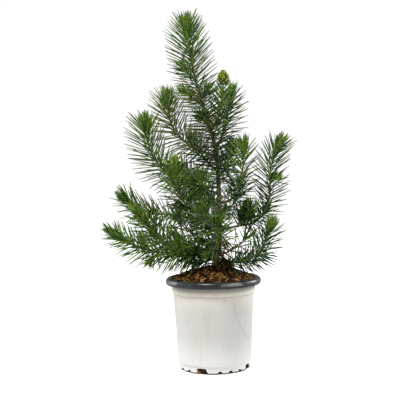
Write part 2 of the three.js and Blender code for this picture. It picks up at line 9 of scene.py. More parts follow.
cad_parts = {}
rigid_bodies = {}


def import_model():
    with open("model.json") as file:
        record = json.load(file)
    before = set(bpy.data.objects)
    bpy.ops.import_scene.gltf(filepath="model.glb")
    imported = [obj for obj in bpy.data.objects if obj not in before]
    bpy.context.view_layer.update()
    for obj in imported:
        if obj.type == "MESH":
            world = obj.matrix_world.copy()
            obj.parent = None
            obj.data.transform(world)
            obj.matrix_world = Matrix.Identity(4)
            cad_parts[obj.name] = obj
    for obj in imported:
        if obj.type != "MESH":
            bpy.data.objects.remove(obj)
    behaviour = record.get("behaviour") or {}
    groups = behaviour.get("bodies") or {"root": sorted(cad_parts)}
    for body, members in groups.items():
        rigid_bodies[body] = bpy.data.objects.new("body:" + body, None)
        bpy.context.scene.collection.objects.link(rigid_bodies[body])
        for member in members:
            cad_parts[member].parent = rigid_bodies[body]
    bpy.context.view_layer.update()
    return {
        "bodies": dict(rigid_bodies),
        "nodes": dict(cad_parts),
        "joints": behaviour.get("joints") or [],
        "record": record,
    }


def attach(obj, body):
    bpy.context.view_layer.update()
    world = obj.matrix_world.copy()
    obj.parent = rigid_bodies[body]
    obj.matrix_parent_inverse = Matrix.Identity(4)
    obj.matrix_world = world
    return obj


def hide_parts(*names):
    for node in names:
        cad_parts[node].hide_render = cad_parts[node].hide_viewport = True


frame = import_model()
MM = 0.001

# Pot: a thin tapered shell of off-white plastic, moulded in one piece. It has a stepped foot that
# is cut away in four large notches and twelve small scallops for drainage, and two fine ridges
# that mark a collar under the rim.

POT_SIDES = 144
POT_WALL = 1.6
POT_PROFILE = [
    (51.1, 0.0), (51.4, 0.4), (52.1, 10.6), (52.3, 11.1), (53.4, 11.4), (54.0, 11.9),
    (54.3, 14.0), (56.7, 68.0), (59.55, 108.6), (59.7, 109.1), (60.0, 109.4), (60.3, 111.6),
    (60.45, 112.2), (60.9, 112.6), (61.2, 113.4), (61.7, 130.4),
]
NOTCH_FIRST = -19.0
NOTCH = [(-10.8, -2.0), (8.6, -2.0), (8.0, 0.0), (4.4, 7.2), (3.4, 8.6), (-9.6, 8.6), (-10.4, 7.6)]
SCALLOP_WIDTH, SCALLOP_HEIGHT = 7.6, 5.2
SCALLOP_OFFSETS = (-18.0, 0.0, 18.0)
CUT_INNER, CUT_OUTER = 49.4, 58.0


def place(name, shape):
    """An object at the origin for a mesh, light or camera. A bmesh is made into a mesh first."""
    if isinstance(shape, bmesh.types.BMesh):
        data = bpy.data.meshes.new(name)
        shape.to_mesh(data)
        shape.free()
        shape = data
    thing = bpy.data.objects.new(name, shape)
    bpy.context.scene.collection.objects.link(thing)
    return thing


def closed(name, mesh):
    """An object for a closed bmesh, with its faces turned outwards."""
    bmesh.ops.recalc_face_normals(mesh, faces=mesh.faces)
    return place(name, mesh)


def skin(mesh, rings):
    """Closes a bmesh over rings of vertices, the last one joined to the first. A ring of one is a pole."""
    for low, high in zip(rings, rings[1:] + rings[:1]):
        sides = max(len(low), len(high))
        for i in range(sides if sides > 1 else 0):
            around = (low, i), (low, i + 1), (high, i + 1), (high, i)
            mesh.faces.new(list(dict.fromkeys(ring[k % len(ring)] for ring, k in around)))


def lathe(name, profile, sides):
    """A mesh turned about the upright axis from (radius, height) points in millimetres."""
    mesh = bmesh.new()
    rings = []
    for radius, height in profile:
        turns = [math.tau * i / sides for i in range(sides if radius else 1)]
        rings.append([
            mesh.verts.new((radius * MM * math.cos(turn), radius * MM * math.sin(turn), height * MM))
            for turn in turns
        ])
    skin(mesh, rings)
    return closed(name, mesh)


def soften(thing, degrees=30):
    """Smooth shading, with creases sharper than an angle left crisp."""
    for face in thing.data.polygons:
        face.use_smooth = True
    thing.data.set_sharp_from_angle(angle=math.radians(degrees))


class Tree:
    """A node tree, with short ways to add to it. A value is a plain one, or a node or socket to link."""

    def __init__(self, own):
        self.own = own

    def plug(self, value, socket):
        if isinstance(value, bpy.types.Node):
            value = value.outputs[0]
        if isinstance(value, bpy.types.NodeSocket):
            self.own.links.new(value, socket)
        else:
            socket.default_value = (*value, 1) if socket.type == "RGBA" else value

    def add(self, kind, settings=None, **values):
        """A node, with the values of its inputs keyed by their names."""
        made = self.own.nodes.new(kind)
        for key, value in (settings or {}).items():
            setattr(made, key, value)
        for key, value in values.items():
            name = key.replace("_", " ").lower()
            self.plug(value, next(s for s in made.inputs if s.enabled and s.name.lower() == name))
        return made

    def maths(self, operation, *values):
        made = self.add("ShaderNodeMath", {"operation": operation})
        for value, socket in zip(values, made.inputs):
            self.plug(value, socket)
        return made

    def times(self, first, second):
        return self.maths("MULTIPLY", first, second)

    def scaled(self, vector, factor):
        return self.add("ShaderNodeVectorMath", {"operation": "SCALE"}, Vector=vector, Scale=factor)

    def place(self):
        """Where a point is on its piece."""
        return self.add("ShaderNodeTexCoord").outputs["Object"]

    def noise(self, scale, detail, vector=None):
        where = self.place() if vector is None else vector
        return self.add("ShaderNodeTexNoise", Vector=where, Scale=scale, Detail=detail)

    def band(self, value, low, high, from_value=0.0, to_value=1.0):
        """A smooth ramp of a value between two limits."""
        return self.add(
            "ShaderNodeMapRange", {"interpolation_type": "SMOOTHSTEP"},
            Value=value, From_Min=low, From_Max=high, To_Min=from_value, To_Max=to_value,
        )

    def mix(self, share, first, second, blend="MIX"):
        """A mix of two colours."""
        made = self.add("ShaderNodeMix", {"data_type": "RGBA", "blend_type": blend})
        for value, at in ((share, 0), (first, 6), (second, 7)):
            self.plug(value, made.inputs[at])
        return made.outputs[2]


class Group(Tree):
    """A node group with named inputs, as (name, type, value), and outputs, as (name, type)."""

    def __init__(self, name, kind, inputs, outputs):
        super().__init__(bpy.data.node_groups.new(name, kind))
        for way, rows in (("INPUT", inputs), ("OUTPUT", outputs)):
            for label, sort, *value in rows:
                socket = self.own.interface.new_socket(label, in_out=way, socket_type=f"NodeSocket{sort}")
                if value:
                    socket.default_value = value[0]
        self.given = self.own.nodes.new("NodeGroupInput").outputs
        self.result = self.own.nodes.new("NodeGroupOutput").inputs


GEOMETRY = ("Geometry", "Geometry")


def run_tree(thing, tree, **values):
    """Puts the plain mesh that a geometry tree makes of an object in the object's place."""
    modifier = thing.modifiers.new("grown", "NODES")
    modifier.node_group = tree.own
    for item in tree.own.interface.items_tree:
        key = item.name.lower().replace(" ", "_")
        if item.in_out == "INPUT" and key in values:
            modifier[item.identifier] = values[key]
    graph = bpy.context.evaluated_depsgraph_get()
    made = bpy.data.meshes.new_from_object(thing.evaluated_get(graph))
    thing.modifiers.remove(modifier)
    old = thing.data
    thing.data = made
    bpy.data.meshes.remove(old)


def rod(mesh, rings):
    """Joins each ring of vertices in a bmesh to the next, with a flat face over each end."""
    for low, high in zip(rings, rings[1:]):
        for i in range(len(low)):
            j = (i + 1) % len(low)
            mesh.faces.new((low[i], low[j], high[j], high[i]))
    mesh.faces.new(rings[0][::-1])
    mesh.faces.new(rings[-1])


def foot_cutter(outline):
    """A prism through the wall at the front of the foot, from (across, height) points."""
    mesh = bmesh.new()
    rod(mesh, [
        [mesh.verts.new((x * MM, -depth * MM, z * MM)) for x, z in outline]
        for depth in (CUT_INNER, CUT_OUTER)
    ])
    return closed("cutter", mesh)


foot_cuts = tree = Group("foot_cuts", "GeometryNodeTree", [
    GEOMETRY, ("Cutter", "Object"), ("Count", "Int", 4), ("First Angle", "Float", 0.0),
], [GEOMETRY])
cutter_mesh = tree.add("GeometryNodeObjectInfo", Object=tree.given["Cutter"]).outputs["Geometry"]
spots = tree.add("GeometryNodeMeshLine", Count=tree.given["Count"], Offset=(0, 0, 0))
step = tree.maths("DIVIDE", math.tau, tree.given["Count"])
turn = tree.maths("MULTIPLY_ADD", tree.add("GeometryNodeInputIndex"), step, tree.given["First Angle"])
turned = tree.add("ShaderNodeCombineXYZ", Z=turn)
cutters = tree.add("GeometryNodeInstanceOnPoints", Points=spots, Instance=cutter_mesh, Rotation=turned)
cutters = tree.add("GeometryNodeRealizeInstances", Geometry=cutters)
cut = tree.add(
    "GeometryNodeMeshBoolean", {"operation": "DIFFERENCE", "solver": "EXACT"},
    Mesh_1=tree.given["Geometry"], Mesh_2=cutters,
)
tree.plug(cut, tree.result["Geometry"])

inside = [(radius - POT_WALL, height) for radius, height in POT_PROFILE if height > POT_WALL]
inside_foot = [(POT_PROFILE[0][0] - POT_WALL, POT_WALL), (0, POT_WALL)]
pot = lathe("nursery_pot", [(0, 0)] + POT_PROFILE + inside[::-1] + inside_foot, POT_SIDES)
scallop = [
    (SCALLOP_WIDTH / 2 * math.cos(a), SCALLOP_HEIGHT * math.sin(a) - 0.1)
    for a in (math.tau * i / 20 for i in range(20))
]
cuts = [(NOTCH, NOTCH_FIRST)] + [(scallop, NOTCH_FIRST + 45 + offset) for offset in SCALLOP_OFFSETS]
for outline, angle in cuts:
    cutter = foot_cutter(outline)
    run_tree(pot, foot_cuts, cutter=cutter, first_angle=math.radians(angle))
    bpy.data.objects.remove(cutter)
soften(pot)

PLASTIC = (0.655, 0.640, 0.605)
COOL_PLASTIC = (0.635, 0.636, 0.612)
WARM_PLASTIC = (0.645, 0.620, 0.570)
LOW_BOUNCE_LIGHT = (0.855, 0.84, 0.81)
FOOT_BOUNCE_LIGHT = (0.92, 0.91, 0.88)
PALE_COLLAR_AND_LIGHT = (0.80, 0.75, 0.66)
RIM_SHADOW_PAINT = (0.32, 0.295, 0.235)
NOTCH_SHADE = (0.030, 0.016, 0.007)
RIDGE_SHADE_PAINT = (0.30, 0.26, 0.20)
RUNS = (0.52, 0.47, 0.40)
FOOT_GRIME_AND_SHADE = (0.055, 0.028, 0.011)
CAKED_PEAT = (0.24, 0.125, 0.045)
SPECKS = (0.42, 0.33, 0.24)
MARKS = (0.40, 0.39, 0.36)


class Look(Tree):
    """A material, with its Principled shader and short ways to build what feeds it."""

    def __init__(self, name, colour, roughness, specular=0.5):
        self.material = bpy.data.materials.new(name)
        self.material.use_nodes = True
        self.material.diffuse_color = (*colour, 1)
        super().__init__(self.material.node_tree)
        self.own.nodes.clear()
        self.shader = self.add(
            "ShaderNodeBsdfPrincipled", Base_Color=colour, Roughness=roughness, Specular_IOR_Level=specular,
        )
        self.add("ShaderNodeOutputMaterial", Surface=self.shader)

    def spot(self):
        """A point's place across, in depth and in height."""
        return self.add("ShaderNodeSeparateXYZ", Vector=self.place()).outputs

    def bearing(self, across, depth):
        """The angle round from the front."""
        return self.maths("ARCTAN2", across, self.times(depth, -1.0))

    def kept(self, name):
        """A value that the mesh keeps under a name."""
        return self.add("ShaderNodeAttribute", {"attribute_name": name}).outputs["Fac"]

    def tones(self, value, stops):
        """A colour from a row of (position, colour) stops."""
        ramp = self.add("ShaderNodeValToRGB", Fac=value)
        while len(ramp.color_ramp.elements) < len(stops):
            ramp.color_ramp.elements.new(0.5)
        for element, (position, colour) in zip(ramp.color_ramp.elements, stops):
            element.position = position
            element.color = (*colour, 1)
        return ramp

    def grained(self, colour, grain, low, high, dark, light):
        """A colour multiplied by a grain that runs from a dark to a light factor."""
        return self.mix(1.0, colour, self.mix(self.band(grain, low, high), dark, light), "MULTIPLY")

    def complete(self, colour, relief=None, strength=0.0, height=0.0, roughness=None):
        """Joins up the colour, and where given a relief with its height in metres and a roughness."""
        inputs = self.shader.inputs
        self.plug(colour, inputs["Base Color"])
        if roughness is not None:
            self.plug(roughness, inputs["Roughness"])
        if relief is not None:
            bump = self.add("ShaderNodeBump", Strength=strength, Distance=height, Height=relief)
            self.plug(bump, inputs["Normal"])
        return self.material


# Wear that several pieces share: a fine mottle, and specks of dirt thrown over a surface.
wear = tree = Group("mottle_and_dirt", "ShaderNodeTree", [
    ("Vector", "Vector"), ("Mottle Scale", "Float", 40.0), ("Speck Scale", "Float", 300.0),
    ("Speck Amount", "Float", 0.5),
], [("Mottle", "Float"), ("Specks", "Float")])
where = tree.given["Vector"]
tree.plug(tree.noise(tree.given["Mottle Scale"], 4.0, where), tree.result["Mottle"])
grit = tree.noise(tree.given["Speck Scale"], 2.0, where)
patch = tree.noise(22.0, 3.0, where)
level = tree.maths("SUBTRACT", 0.98, tree.times(patch, tree.given["Speck Amount"]))
tree.plug(tree.band(grit, level, tree.maths("ADD", level, 0.05)), tree.result["Specks"])


def add_wear(look, **values):
    return look.add("ShaderNodeGroup", {"node_tree": wear.own}, Vector=look.place(), **values).outputs


look = Look("pot_white", PLASTIC, 0.42)
mottle, specks = add_wear(look, Mottle_Scale=18.0, Speck_Scale=420.0, Speck_Amount=0.5)
across, depth, height = look.spot()
bearing = look.bearing(across, depth)
colour = look.mix(look.band(mottle, 0.35, 0.7), PLASTIC, COOL_PLASTIC)
# The mould's panels differ a little in tone, with their edges upright on the front.
panel = look.times(look.band(bearing, -0.84, -0.80), look.band(bearing, 0.10, -0.02))
colour = look.mix(look.times(panel, 0.5), colour, WARM_PLASTIC)
# It is painted whiter low down, as light bounced up from the floor.
colour = look.mix(look.band(height, 0.060, 0.010), colour, LOW_BOUNCE_LIGHT)
# The plastic is yellower on the collar and painted lighter there against the rim's shadow, with a painted
# shadow just under the rim, painted shade along its two ridges and faint runs of grime below.
colour = look.mix(look.band(height, 0.0840, 0.1120), colour, PALE_COLLAR_AND_LIGHT)
# A painted shadow darkens the collar just under the rim.
colour = look.mix(look.band(height, 0.1150, 0.1215), colour, RIM_SHADOW_PAINT)
# Painted shade along the two ridges.
for ridge, width, share in ((0.1116, 0.0009, 0.55), (0.1088, 0.0006, 0.25)):
    from_ridge = look.maths("ABSOLUTE", look.maths("SUBTRACT", height, ridge))
    colour = look.mix(look.band(from_ridge, width, width * 0.3, 0.0, share), colour, RIDGE_SHADE_PAINT)
runs = look.noise(150.0, 3.0, look.add("ShaderNodeMapping", Vector=look.place(), Scale=(1.0, 1.0, 0.12)))
colour = look.mix(look.band(runs, 0.5, 0.75, 0.0, 0.22), colour, RUNS)
# Above its lowest edge the foot is painted paler, as light bounced up from the floor. Soil has dirtied the
# lowest edge of the foot, where painted contact shade darkens it too, and sticks inside its notches, whose
# cut faces are painted near-black as shade.
colour = look.mix(look.band(height, 0.0125, 0.0110), colour, FOOT_BOUNCE_LIGHT)
foot_dirt = look.times(look.band(height, 0.0035, 0.0), look.band(mottle, 0.42, 0.56))
# The lowest edge is dirt, and painted contact shade as well.
foot_edge_grime_and_shade = look.maths("MAXIMUM", foot_dirt, look.band(height, 0.0036, 0.0014))
colour = look.mix(look.times(foot_edge_grime_and_shade, 0.85), colour, FOOT_GRIME_AND_SHADE)
flat_place = look.add("ShaderNodeCombineXYZ", X=across, Y=depth)
radius = look.add("ShaderNodeVectorMath", {"operation": "LENGTH"}, Vector=flat_place).outputs["Value"]
# The notches' cut faces are painted near-black as shade, mottled with brown caked peat.
inside_cut = look.times(look.band(radius, 0.0505, 0.0502), look.band(height, 0.0125, 0.0118))
notch_shade_and_peat = look.mix(look.band(look.noise(260.0, 3.0), 0.48, 0.56), NOTCH_SHADE, CAKED_PEAT)
colour = look.mix(inside_cut, colour, notch_shade_and_peat)
colour = look.mix(look.times(specks, 0.35), colour, SPECKS)
# A long shallow crease curves down the right of the front, with a small dimple under it.
drop = look.maths("MAXIMUM", look.maths("SUBTRACT", 0.1054, height), 0.0)
curve = look.maths("ADD", look.times(look.maths("POWER", drop, 1.85), 3.793), 0.0283)
offset = look.maths("ABSOLUTE", look.maths("SUBTRACT", across, curve))
crease = look.times(look.band(offset, 0.0015, 0.0003), look.band(height, 0.040, 0.046))
crease = look.times(crease, look.band(height, 0.1056, 0.100))
from_dimple = look.add("ShaderNodeVectorMath", {"operation": "DISTANCE"}, Vector=look.place())
from_dimple.inputs[1].default_value = (0.036, -0.0415, 0.032)
dimple = look.band(from_dimple.outputs["Value"], 0.0016, 0.0006)
marks = look.times(look.maths("MAXIMUM", crease, dimple), look.band(depth, 0.0, -0.01))
colour = look.mix(look.times(marks, 0.28), colour, MARKS)
dents = look.maths("SUBTRACT", look.times(look.noise(900.0, 3.0), 0.25), marks)
pot_white = look.complete(colour, dents, 0.35, 0.0003, look.band(mottle, 0.3, 0.7, 0.36, 0.5))
pot.data.materials.clear()
pot.data.materials.append(pot_white)
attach(pot, "root")
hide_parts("pot")

# Rim: a rolled ring of dark blue-grey plastic, glossy, with pale painted highlights, which grips the top
# edge of the pot. Its underside ends in a thin lip that stands a little clear of the wall.

RIM_PROFILE = [
    (62.1, 124.4), (62.6, 123.9), (66.0, 123.6), (67.6, 124.0), (68.9, 124.7), (69.7, 125.7), (70.0, 127.0),
    (70.0, 129.2), (69.8, 130.6), (69.2, 132.0), (68.2, 133.2), (66.9, 134.0), (65.5, 134.4), (64.2, 134.5),
    (62.9, 134.1), (61.9, 133.2), (61.2, 132.2), (60.6, 131.2), (60.4, 130.7), (62.0, 130.7),
]
rim = lathe("rolled_rim", RIM_PROFILE, POT_SIDES)
soften(rim, 50)
RIM_GREY = (0.0155, 0.0172, 0.0180)
RIM_PAINTED_HIGHLIGHT = (0.26, 0.265, 0.255)
RIM_SHEEN = (0.033, 0.038, 0.042)
RIM_UNDERSIDE_REFLECTION = (0.15, 0.155, 0.15)
RIM_SPECKS = (0.20, 0.14, 0.08)

look = Look("rim_grey", RIM_GREY, 0.3, 0.38)
mottle, specks = add_wear(look, Mottle_Scale=60.0, Speck_Scale=500.0, Speck_Amount=0.62)
across, depth, height = look.spot()
bearing = look.bearing(across, depth)
colour = look.mix(look.band(mottle, 0.45, 0.75), RIM_GREY, RIM_SHEEN)
streaks = look.noise(260.0, 4.0, look.add("ShaderNodeMapping", Vector=look.place(), Scale=(0.3, 0.3, 2.2)))
# Pale painted highlights lie in streaks on the top of the front right and of the left end.
on_right = look.times(look.band(bearing, 0.10, 0.25), look.band(bearing, 0.72, 0.55))
on_left = look.times(look.band(bearing, -1.45, -1.2), look.band(bearing, -0.80, -1.0))
on_top = look.times(look.band(height, 0.1275, 0.1290), look.band(height, 0.1335, 0.1318))
highlight_patches = look.times(look.maths("MAXIMUM", on_right, on_left), on_top)
colour = look.mix(look.times(highlight_patches, look.band(streaks, 0.36, 0.56)), colour, RIM_PAINTED_HIGHLIGHT)
# The underside and its lip are painted paler, as a reflection of the white floor below.
colour = look.mix(look.band(height, 0.1256, 0.1240, 0.0, 0.75), colour, RIM_UNDERSIDE_REFLECTION)
colour = look.mix(look.times(specks, 0.6), colour, RIM_SPECKS)
sheen = look.band(mottle, 0.3, 0.7, 0.24, 0.42)
rim.data.materials.append(look.complete(colour, look.noise(140.0, 5.0), 0.35, 0.0006, sheen))
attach(rim, "root")
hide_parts("pot_rim")

# Potting mix: damp peat that fills the pot and shows in its notches, heaped to the trunk, with a
# loose top of bark chips, coir and fallen needles.

SOIL_TOP = 149.0
SOIL_EDGE = 131.0
HEAP_POWER = 1.35
TRUNK_X = 5.0
SMOOTH_REACH = 7
CLUMP_X, CLUMP_Y = 16.5, -2.0
CLUMP_HEIGHT, CLUMP_SPREAD = 11.0, 46
soil_radius = POT_PROFILE[-1][0] - POT_WALL - 0.3
SEED = 20817


def soil_height(radius):
    return SOIL_EDGE + (SOIL_TOP - SOIL_EDGE) * (1 - min(radius / soil_radius, 1) ** HEAP_POWER)


top_rings = [soil_radius * share for share in [0.985] + [i / 20 for i in range(19, 0, -1)]]
soil_profile = [
    (0, 1.2), (44.0, 1.2), (46.0, 3.0), (47.5, 10.8), (51.8, 12.6),
    (54.7, 68.0), (57.8, 111.0), (59.6, 129.4),
]
soil_profile += [(radius, soil_height(radius)) for radius in top_rings] + [(0, SOIL_TOP)]
soil = lathe("potting_mix", soil_profile, 96)
for vertex in soil.data.vertices:
    spot = vertex.co / MM
    from_trunk = math.hypot(spot.x - TRUNK_X, spot.y)
    if spot.z > SOIL_EDGE - 1 and from_trunk > SMOOTH_REACH:
        lumps = noise.fractal(spot * 0.11, 0.9, 2.2, 4) * 1.5 + noise.noise(spot * 0.6) * 0.6
        from_clump = (spot.x - CLUMP_X) ** 2 + (spot.y - CLUMP_Y) ** 2
        clump = CLUMP_HEIGHT * math.exp(-from_clump / CLUMP_SPREAD)
        vertex.co.z += (lumps * min((from_trunk - SMOOTH_REACH) / 8, 1) + clump) * MM
soften(soil, 60)

PEAT = (0.011, 0.006, 0.003)
CRUMBS = (0.040, 0.019, 0.007)
BURIED_CHIPS = (0.085, 0.040, 0.014)
DRY_PEAT = (0.30, 0.16, 0.06)
look = Look("damp_peat", PEAT, 0.95, 0.2)
crumbs = look.noise(420.0, 6.0)
colour = look.mix(look.band(crumbs, 0.45, 0.68), PEAT, CRUMBS)
chip_marks = look.add("ShaderNodeTexVoronoi", Vector=look.place(), Scale=210.0)
colour = look.mix(look.band(chip_marks, 0.28, 0.12, 0.0, 0.55), colour, BURIED_CHIPS)
# It is dry and pale where it shows in the notches.
height = look.spot()[2]
dry = look.times(look.band(height, 0.0065, 0.0030), look.band(crumbs, 0.42, 0.54))
soil.data.materials.append(look.complete(look.mix(dry, colour, DRY_PEAT), crumbs, 0.9, 0.0012))
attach(soil, "root")
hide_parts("soil")

# The loose top: each kind of scrap is one small closed shape, scattered over the heap and turned
# and stretched at random. A scrap keeps one tone of brown all over.
CHIP_TONES = [
    (0.0, (0.010, 0.005, 0.002)), (0.35, (0.027, 0.010, 0.003)),
    (0.72, (0.088, 0.032, 0.007)), (1.0, (0.53, 0.29, 0.088)),
]


def scrap_shape(name, length, width, thickness, bend, rough, sides=5, rings=4, seed=0):
    """A splinter or flake: a flattened, bent and uneven rod with blunt ends, in millimetres."""
    rng = random.Random(seed)
    mesh = bmesh.new()
    loops = []
    for i in range(rings):
        s = i / (rings - 1)
        girth = 0.55 + 0.45 * math.sin(math.pi * min(max(s, 0.12), 0.88))
        lift = bend * math.sin(math.pi * s)
        loops.append([
            mesh.verts.new((
                (s - 0.5) * length * MM,
                width / 2 * girth * math.cos(turn) * rng.uniform(1 - rough, 1 + rough) * MM,
                (lift + thickness / 2 * girth * math.sin(turn) * rng.uniform(1 - rough, 1 + rough)) * MM,
            ))
            for turn in (math.tau * k / sides for k in range(sides))
        ])
    rod(mesh, loops)
    return closed(name, mesh)


scattered_scraps = tree = Group("scattered_scraps", "GeometryNodeTree", [
    GEOMETRY, ("Scrap", "Object"), ("Density", "Float", 1000.0), ("Least Size", "Float", 0.6),
    ("Greatest Size", "Float", 1.4), ("Tilt", "Float", 0.5), ("Lowest Tone", "Float", 0.0),
    ("Lift", "Float", 0.0004), ("Seed", "Int", 1), ("Material", "Material"),
], [GEOMETRY])
given, seed = tree.given, tree.given["Seed"]
spots = tree.add(
    "GeometryNodeDistributePointsOnFaces", Mesh=given["Geometry"], Density=given["Density"], Seed=seed,
)
lifted = tree.scaled(spots.outputs["Normal"], given["Lift"])
raised = tree.add("GeometryNodeSetPosition", Geometry=spots, Offset=lifted)
tone = tree.add("FunctionNodeRandomValue", Min=given["Lowest Tone"], Max=1.0, Seed=seed).outputs[1]
toned = tree.add("GeometryNodeStoreNamedAttribute", Geometry=raised, Name="tone", Value=tone)
least, most = (tree.scaled(limit, given["Tilt"]) for limit in ((-1, -1, -6), (1, 1, 6)))
tilt = tree.add("FunctionNodeRandomValue", {"data_type": "FLOAT_VECTOR"}, Min=least, Max=most, Seed=seed)
turned = tree.add(
    "FunctionNodeRotateRotation", {"rotation_space": "LOCAL"}, Rotation=spots.outputs["Rotation"],
    Rotate_By=tree.add("FunctionNodeEulerToRotation", Euler=tilt),
)
size = tree.add("FunctionNodeRandomValue", Min=given["Least Size"], Max=given["Greatest Size"], Seed=seed)
scraps = tree.add(
    "GeometryNodeInstanceOnPoints", Points=toned, Rotation=turned, Scale=size.outputs[1],
    Instance=tree.add("GeometryNodeObjectInfo", Object=given["Scrap"]).outputs["Geometry"],
)
scraps = tree.add("GeometryNodeRealizeInstances", Geometry=scraps)
scraps = tree.add("GeometryNodeSetMaterial", Geometry=scraps, Material=given["Material"])
tree.plug(scraps, tree.result["Geometry"])

look = Look("loose_bark", CHIP_TONES[1][1], 0.85, 0.2)
streak = look.noise(700.0, 3.0)
colour = look.tones(look.kept("tone"), CHIP_TONES)
colour = look.grained(colour, streak, 0.3, 0.7, (0.55, 0.52, 0.5), (1.15, 1.12, 1.1))
loose_bark = look.complete(colour, streak, 0.6, 0.0004)


def heap_top(name, keep):
    """The heap's upper faces that pass a test, as a base to scatter scraps on."""
    mesh = bmesh.new()
    mesh.from_mesh(soil.data)
    unwanted = [f for f in mesh.faces if not keep(f.calc_center_median() / MM) or f.normal.z < 0.3]
    bmesh.ops.delete(mesh, geom=unwanted, context="FACES")
    return place(name, mesh)


def whole_top(spot):
    return spot.z > SOIL_EDGE - 0.5


def near_clump(reach):
    return lambda spot: math.hypot(spot.x - CLUMP_X, spot.y - CLUMP_Y) < reach


def front_right(spot):
    return whole_top(spot) and spot.x > 8 and spot.y < -18


# Name, where it lies, (length, width, thickness, bend, roughness), scraps to a square metre, least and
# greatest size, tilt, lowest tone, lift, seed.
SCRAPS = [
    ("bark_chips", whole_top, (5.8, 2.8, 1.5, 0.4, 0.3), 46000, 0.5, 1.35, 0.8, 0.0, 0.8, 11),
    ("bark_slivers", whole_top, (7.5, 1.5, 0.9, 0.9, 0.25), 46000, 0.6, 1.4, 0.7, 0.1, 1.8, 12),
    ("coir_threads", whole_top, (12.0, 0.6, 0.5, 2.6, 0.1), 15000, 0.5, 1.2, 0.6, 0.5, 1.6, 13),
    ("clump_foot", near_clump(9), (5.5, 3.0, 2.0, 0.4, 0.3), 140000, 0.6, 1.4, 0.9, 0.0, 1.6, 14),
    # The chips on the front right are paler than the rest as painted light falling on that side of the
    # heap.
    ("dry_chips", front_right, (6.0, 2.4, 1.2, 0.9, 0.3), 30000, 0.6, 1.3, 0.7, 0.5, 2.2, 16),
    ("clump_top", near_clump(6), (6.0, 2.4, 1.6, 0.6, 0.3), 150000, 0.6, 1.3, 1.2, 0.0, 4.2, 15),
]
for name, keep, shape, density, least, greatest, tilt, lowest, lift, seed in SCRAPS:
    length, width, thickness, bend, rough = shape
    scrap = scrap_shape("scrap", length, width, thickness, bend, rough, seed=seed)
    base = heap_top(name, keep)
    run_tree(
        base, scattered_scraps, scrap=scrap, density=float(density), least_size=least,
        greatest_size=greatest, tilt=tilt, lowest_tone=lowest, lift=lift * MM, seed=seed,
        material=loose_bark,
    )
    bpy.data.objects.remove(scrap)
    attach(base, "root")

# Trunk: one slim stem that leans right, then bows left to the leader. Its bark is thin and rough,
# orange-brown at the flared foot and brown above, and the young leader stays yellow-green.

TRUNK_FOOT = Vector((TRUNK_X, 0, SOIL_TOP + 0.3))
TRUNK_LENGTH = 330.0
TRUNK_CLIMB = [82, 86, 92, 91, 105, 107, 103, 97]
TRUNK_TAPER = 0.8
TRUNK_RADIUS = 3.9
TRUNK_TIP_RADIUS = 1.3
FLARE = 2.6
FLARE_HEIGHT = 11.0
TRUNK_STEP = 14.0


def eased(stations, s):
    """A value that runs evenly through a list of stations as s goes from 0 to 1."""
    where = min(max(s, 0), 1) * (len(stations) - 1)
    lower = min(int(where), len(stations) - 2)
    return stations[lower] + (stations[lower + 1] - stations[lower]) * (where - lower)


def heading(bearing, climb):
    b, c = math.radians(bearing), math.radians(climb)
    return Vector((math.cos(c) * math.cos(b), math.cos(c) * math.sin(b), math.sin(c)))


def grow_axis(start, length, bearings, climbs, step):
    """An axis grown in equal steps from a start, as points in millimetres."""
    count = max(2, round(length / step))
    points = [start.copy()]
    for i in range(count):
        s = (i + 0.5) / count
        points.append(points[-1] + heading(eased(bearings, s), eased(climbs, s)) * (length / count))
    return points


def point_at(points, s):
    """A point on a smooth curve through equal steps, at a share of its length, and its direction."""
    where = min(max(s, 0), 1) * (len(points) - 1)
    i = min(int(where), len(points) - 2)
    t = where - i
    p1, p2 = points[i], points[i + 1]
    p0 = points[i - 1] if i > 0 else p1 * 2 - p2
    p3 = points[i + 2] if i + 2 < len(points) else p2 * 2 - p1
    a, b, c = (p2 - p0) / 2, p0 - p1 * 2.5 + p2 * 2 - p3 / 2, (p3 - p0) / 2 + (p1 - p2) * 1.5
    return p1 + a * t + b * t * t + c * t**3, (a + b * (2 * t) + c * (3 * t * t)).normalized()


def frames_along(points, first, last, count):
    """Points, directions and crosswise directions carried along an axis without twist."""
    frames = []
    across = None
    for i in range(count + 1):
        point, along = point_at(points, first + (last - first) * i / count)
        if across is None:
            across = Vector((1, 0, 0)) if abs(along.z) > 0.9 else Vector((0, 0, 1))
        across = (across - along * across.dot(along)).normalized()
        frames.append((point, along, across, along.cross(across)))
    return frames


class Limbs:
    """Round limbs gathered into one mesh, with a value for age along each."""

    def __init__(self):
        self.mesh = bmesh.new()
        self.age = self.mesh.verts.layers.float.new("age")

    def add(self, frames, sides, radius_at, age_at):
        """radius_at gives the radius at a ring's share of the length and an angle."""
        last = len(frames) - 1
        rings = []
        for i, (point, along, across, beside) in enumerate(frames):
            ring = [point] if i == 0 else []
            for angle in (math.tau * k / sides for k in range(sides)):
                outward = across * math.cos(angle) + beside * math.sin(angle)
                ring.append(point + outward * radius_at(i / last, angle, point))
            ring += [point] if i == last else []
            ring = [self.mesh.verts.new(spot * MM) for spot in ring]
            for vertex in ring:
                vertex[self.age] = age_at(i / last)
            rings += [ring[:1], ring[1:]] if i == 0 else [ring[:-1], ring[-1:]] if i == last else [ring]
        skin(self.mesh, rings)

    def build(self, name, material):
        thing = place(name, self.mesh)
        thing.data.materials.append(material)
        soften(thing, 60)
        return thing


def trunk_radius(s):
    return (
        TRUNK_RADIUS + (TRUNK_TIP_RADIUS - TRUNK_RADIUS) * s**TRUNK_TAPER
        + FLARE * math.exp(-s * TRUNK_LENGTH / FLARE_HEIGHT)
    )


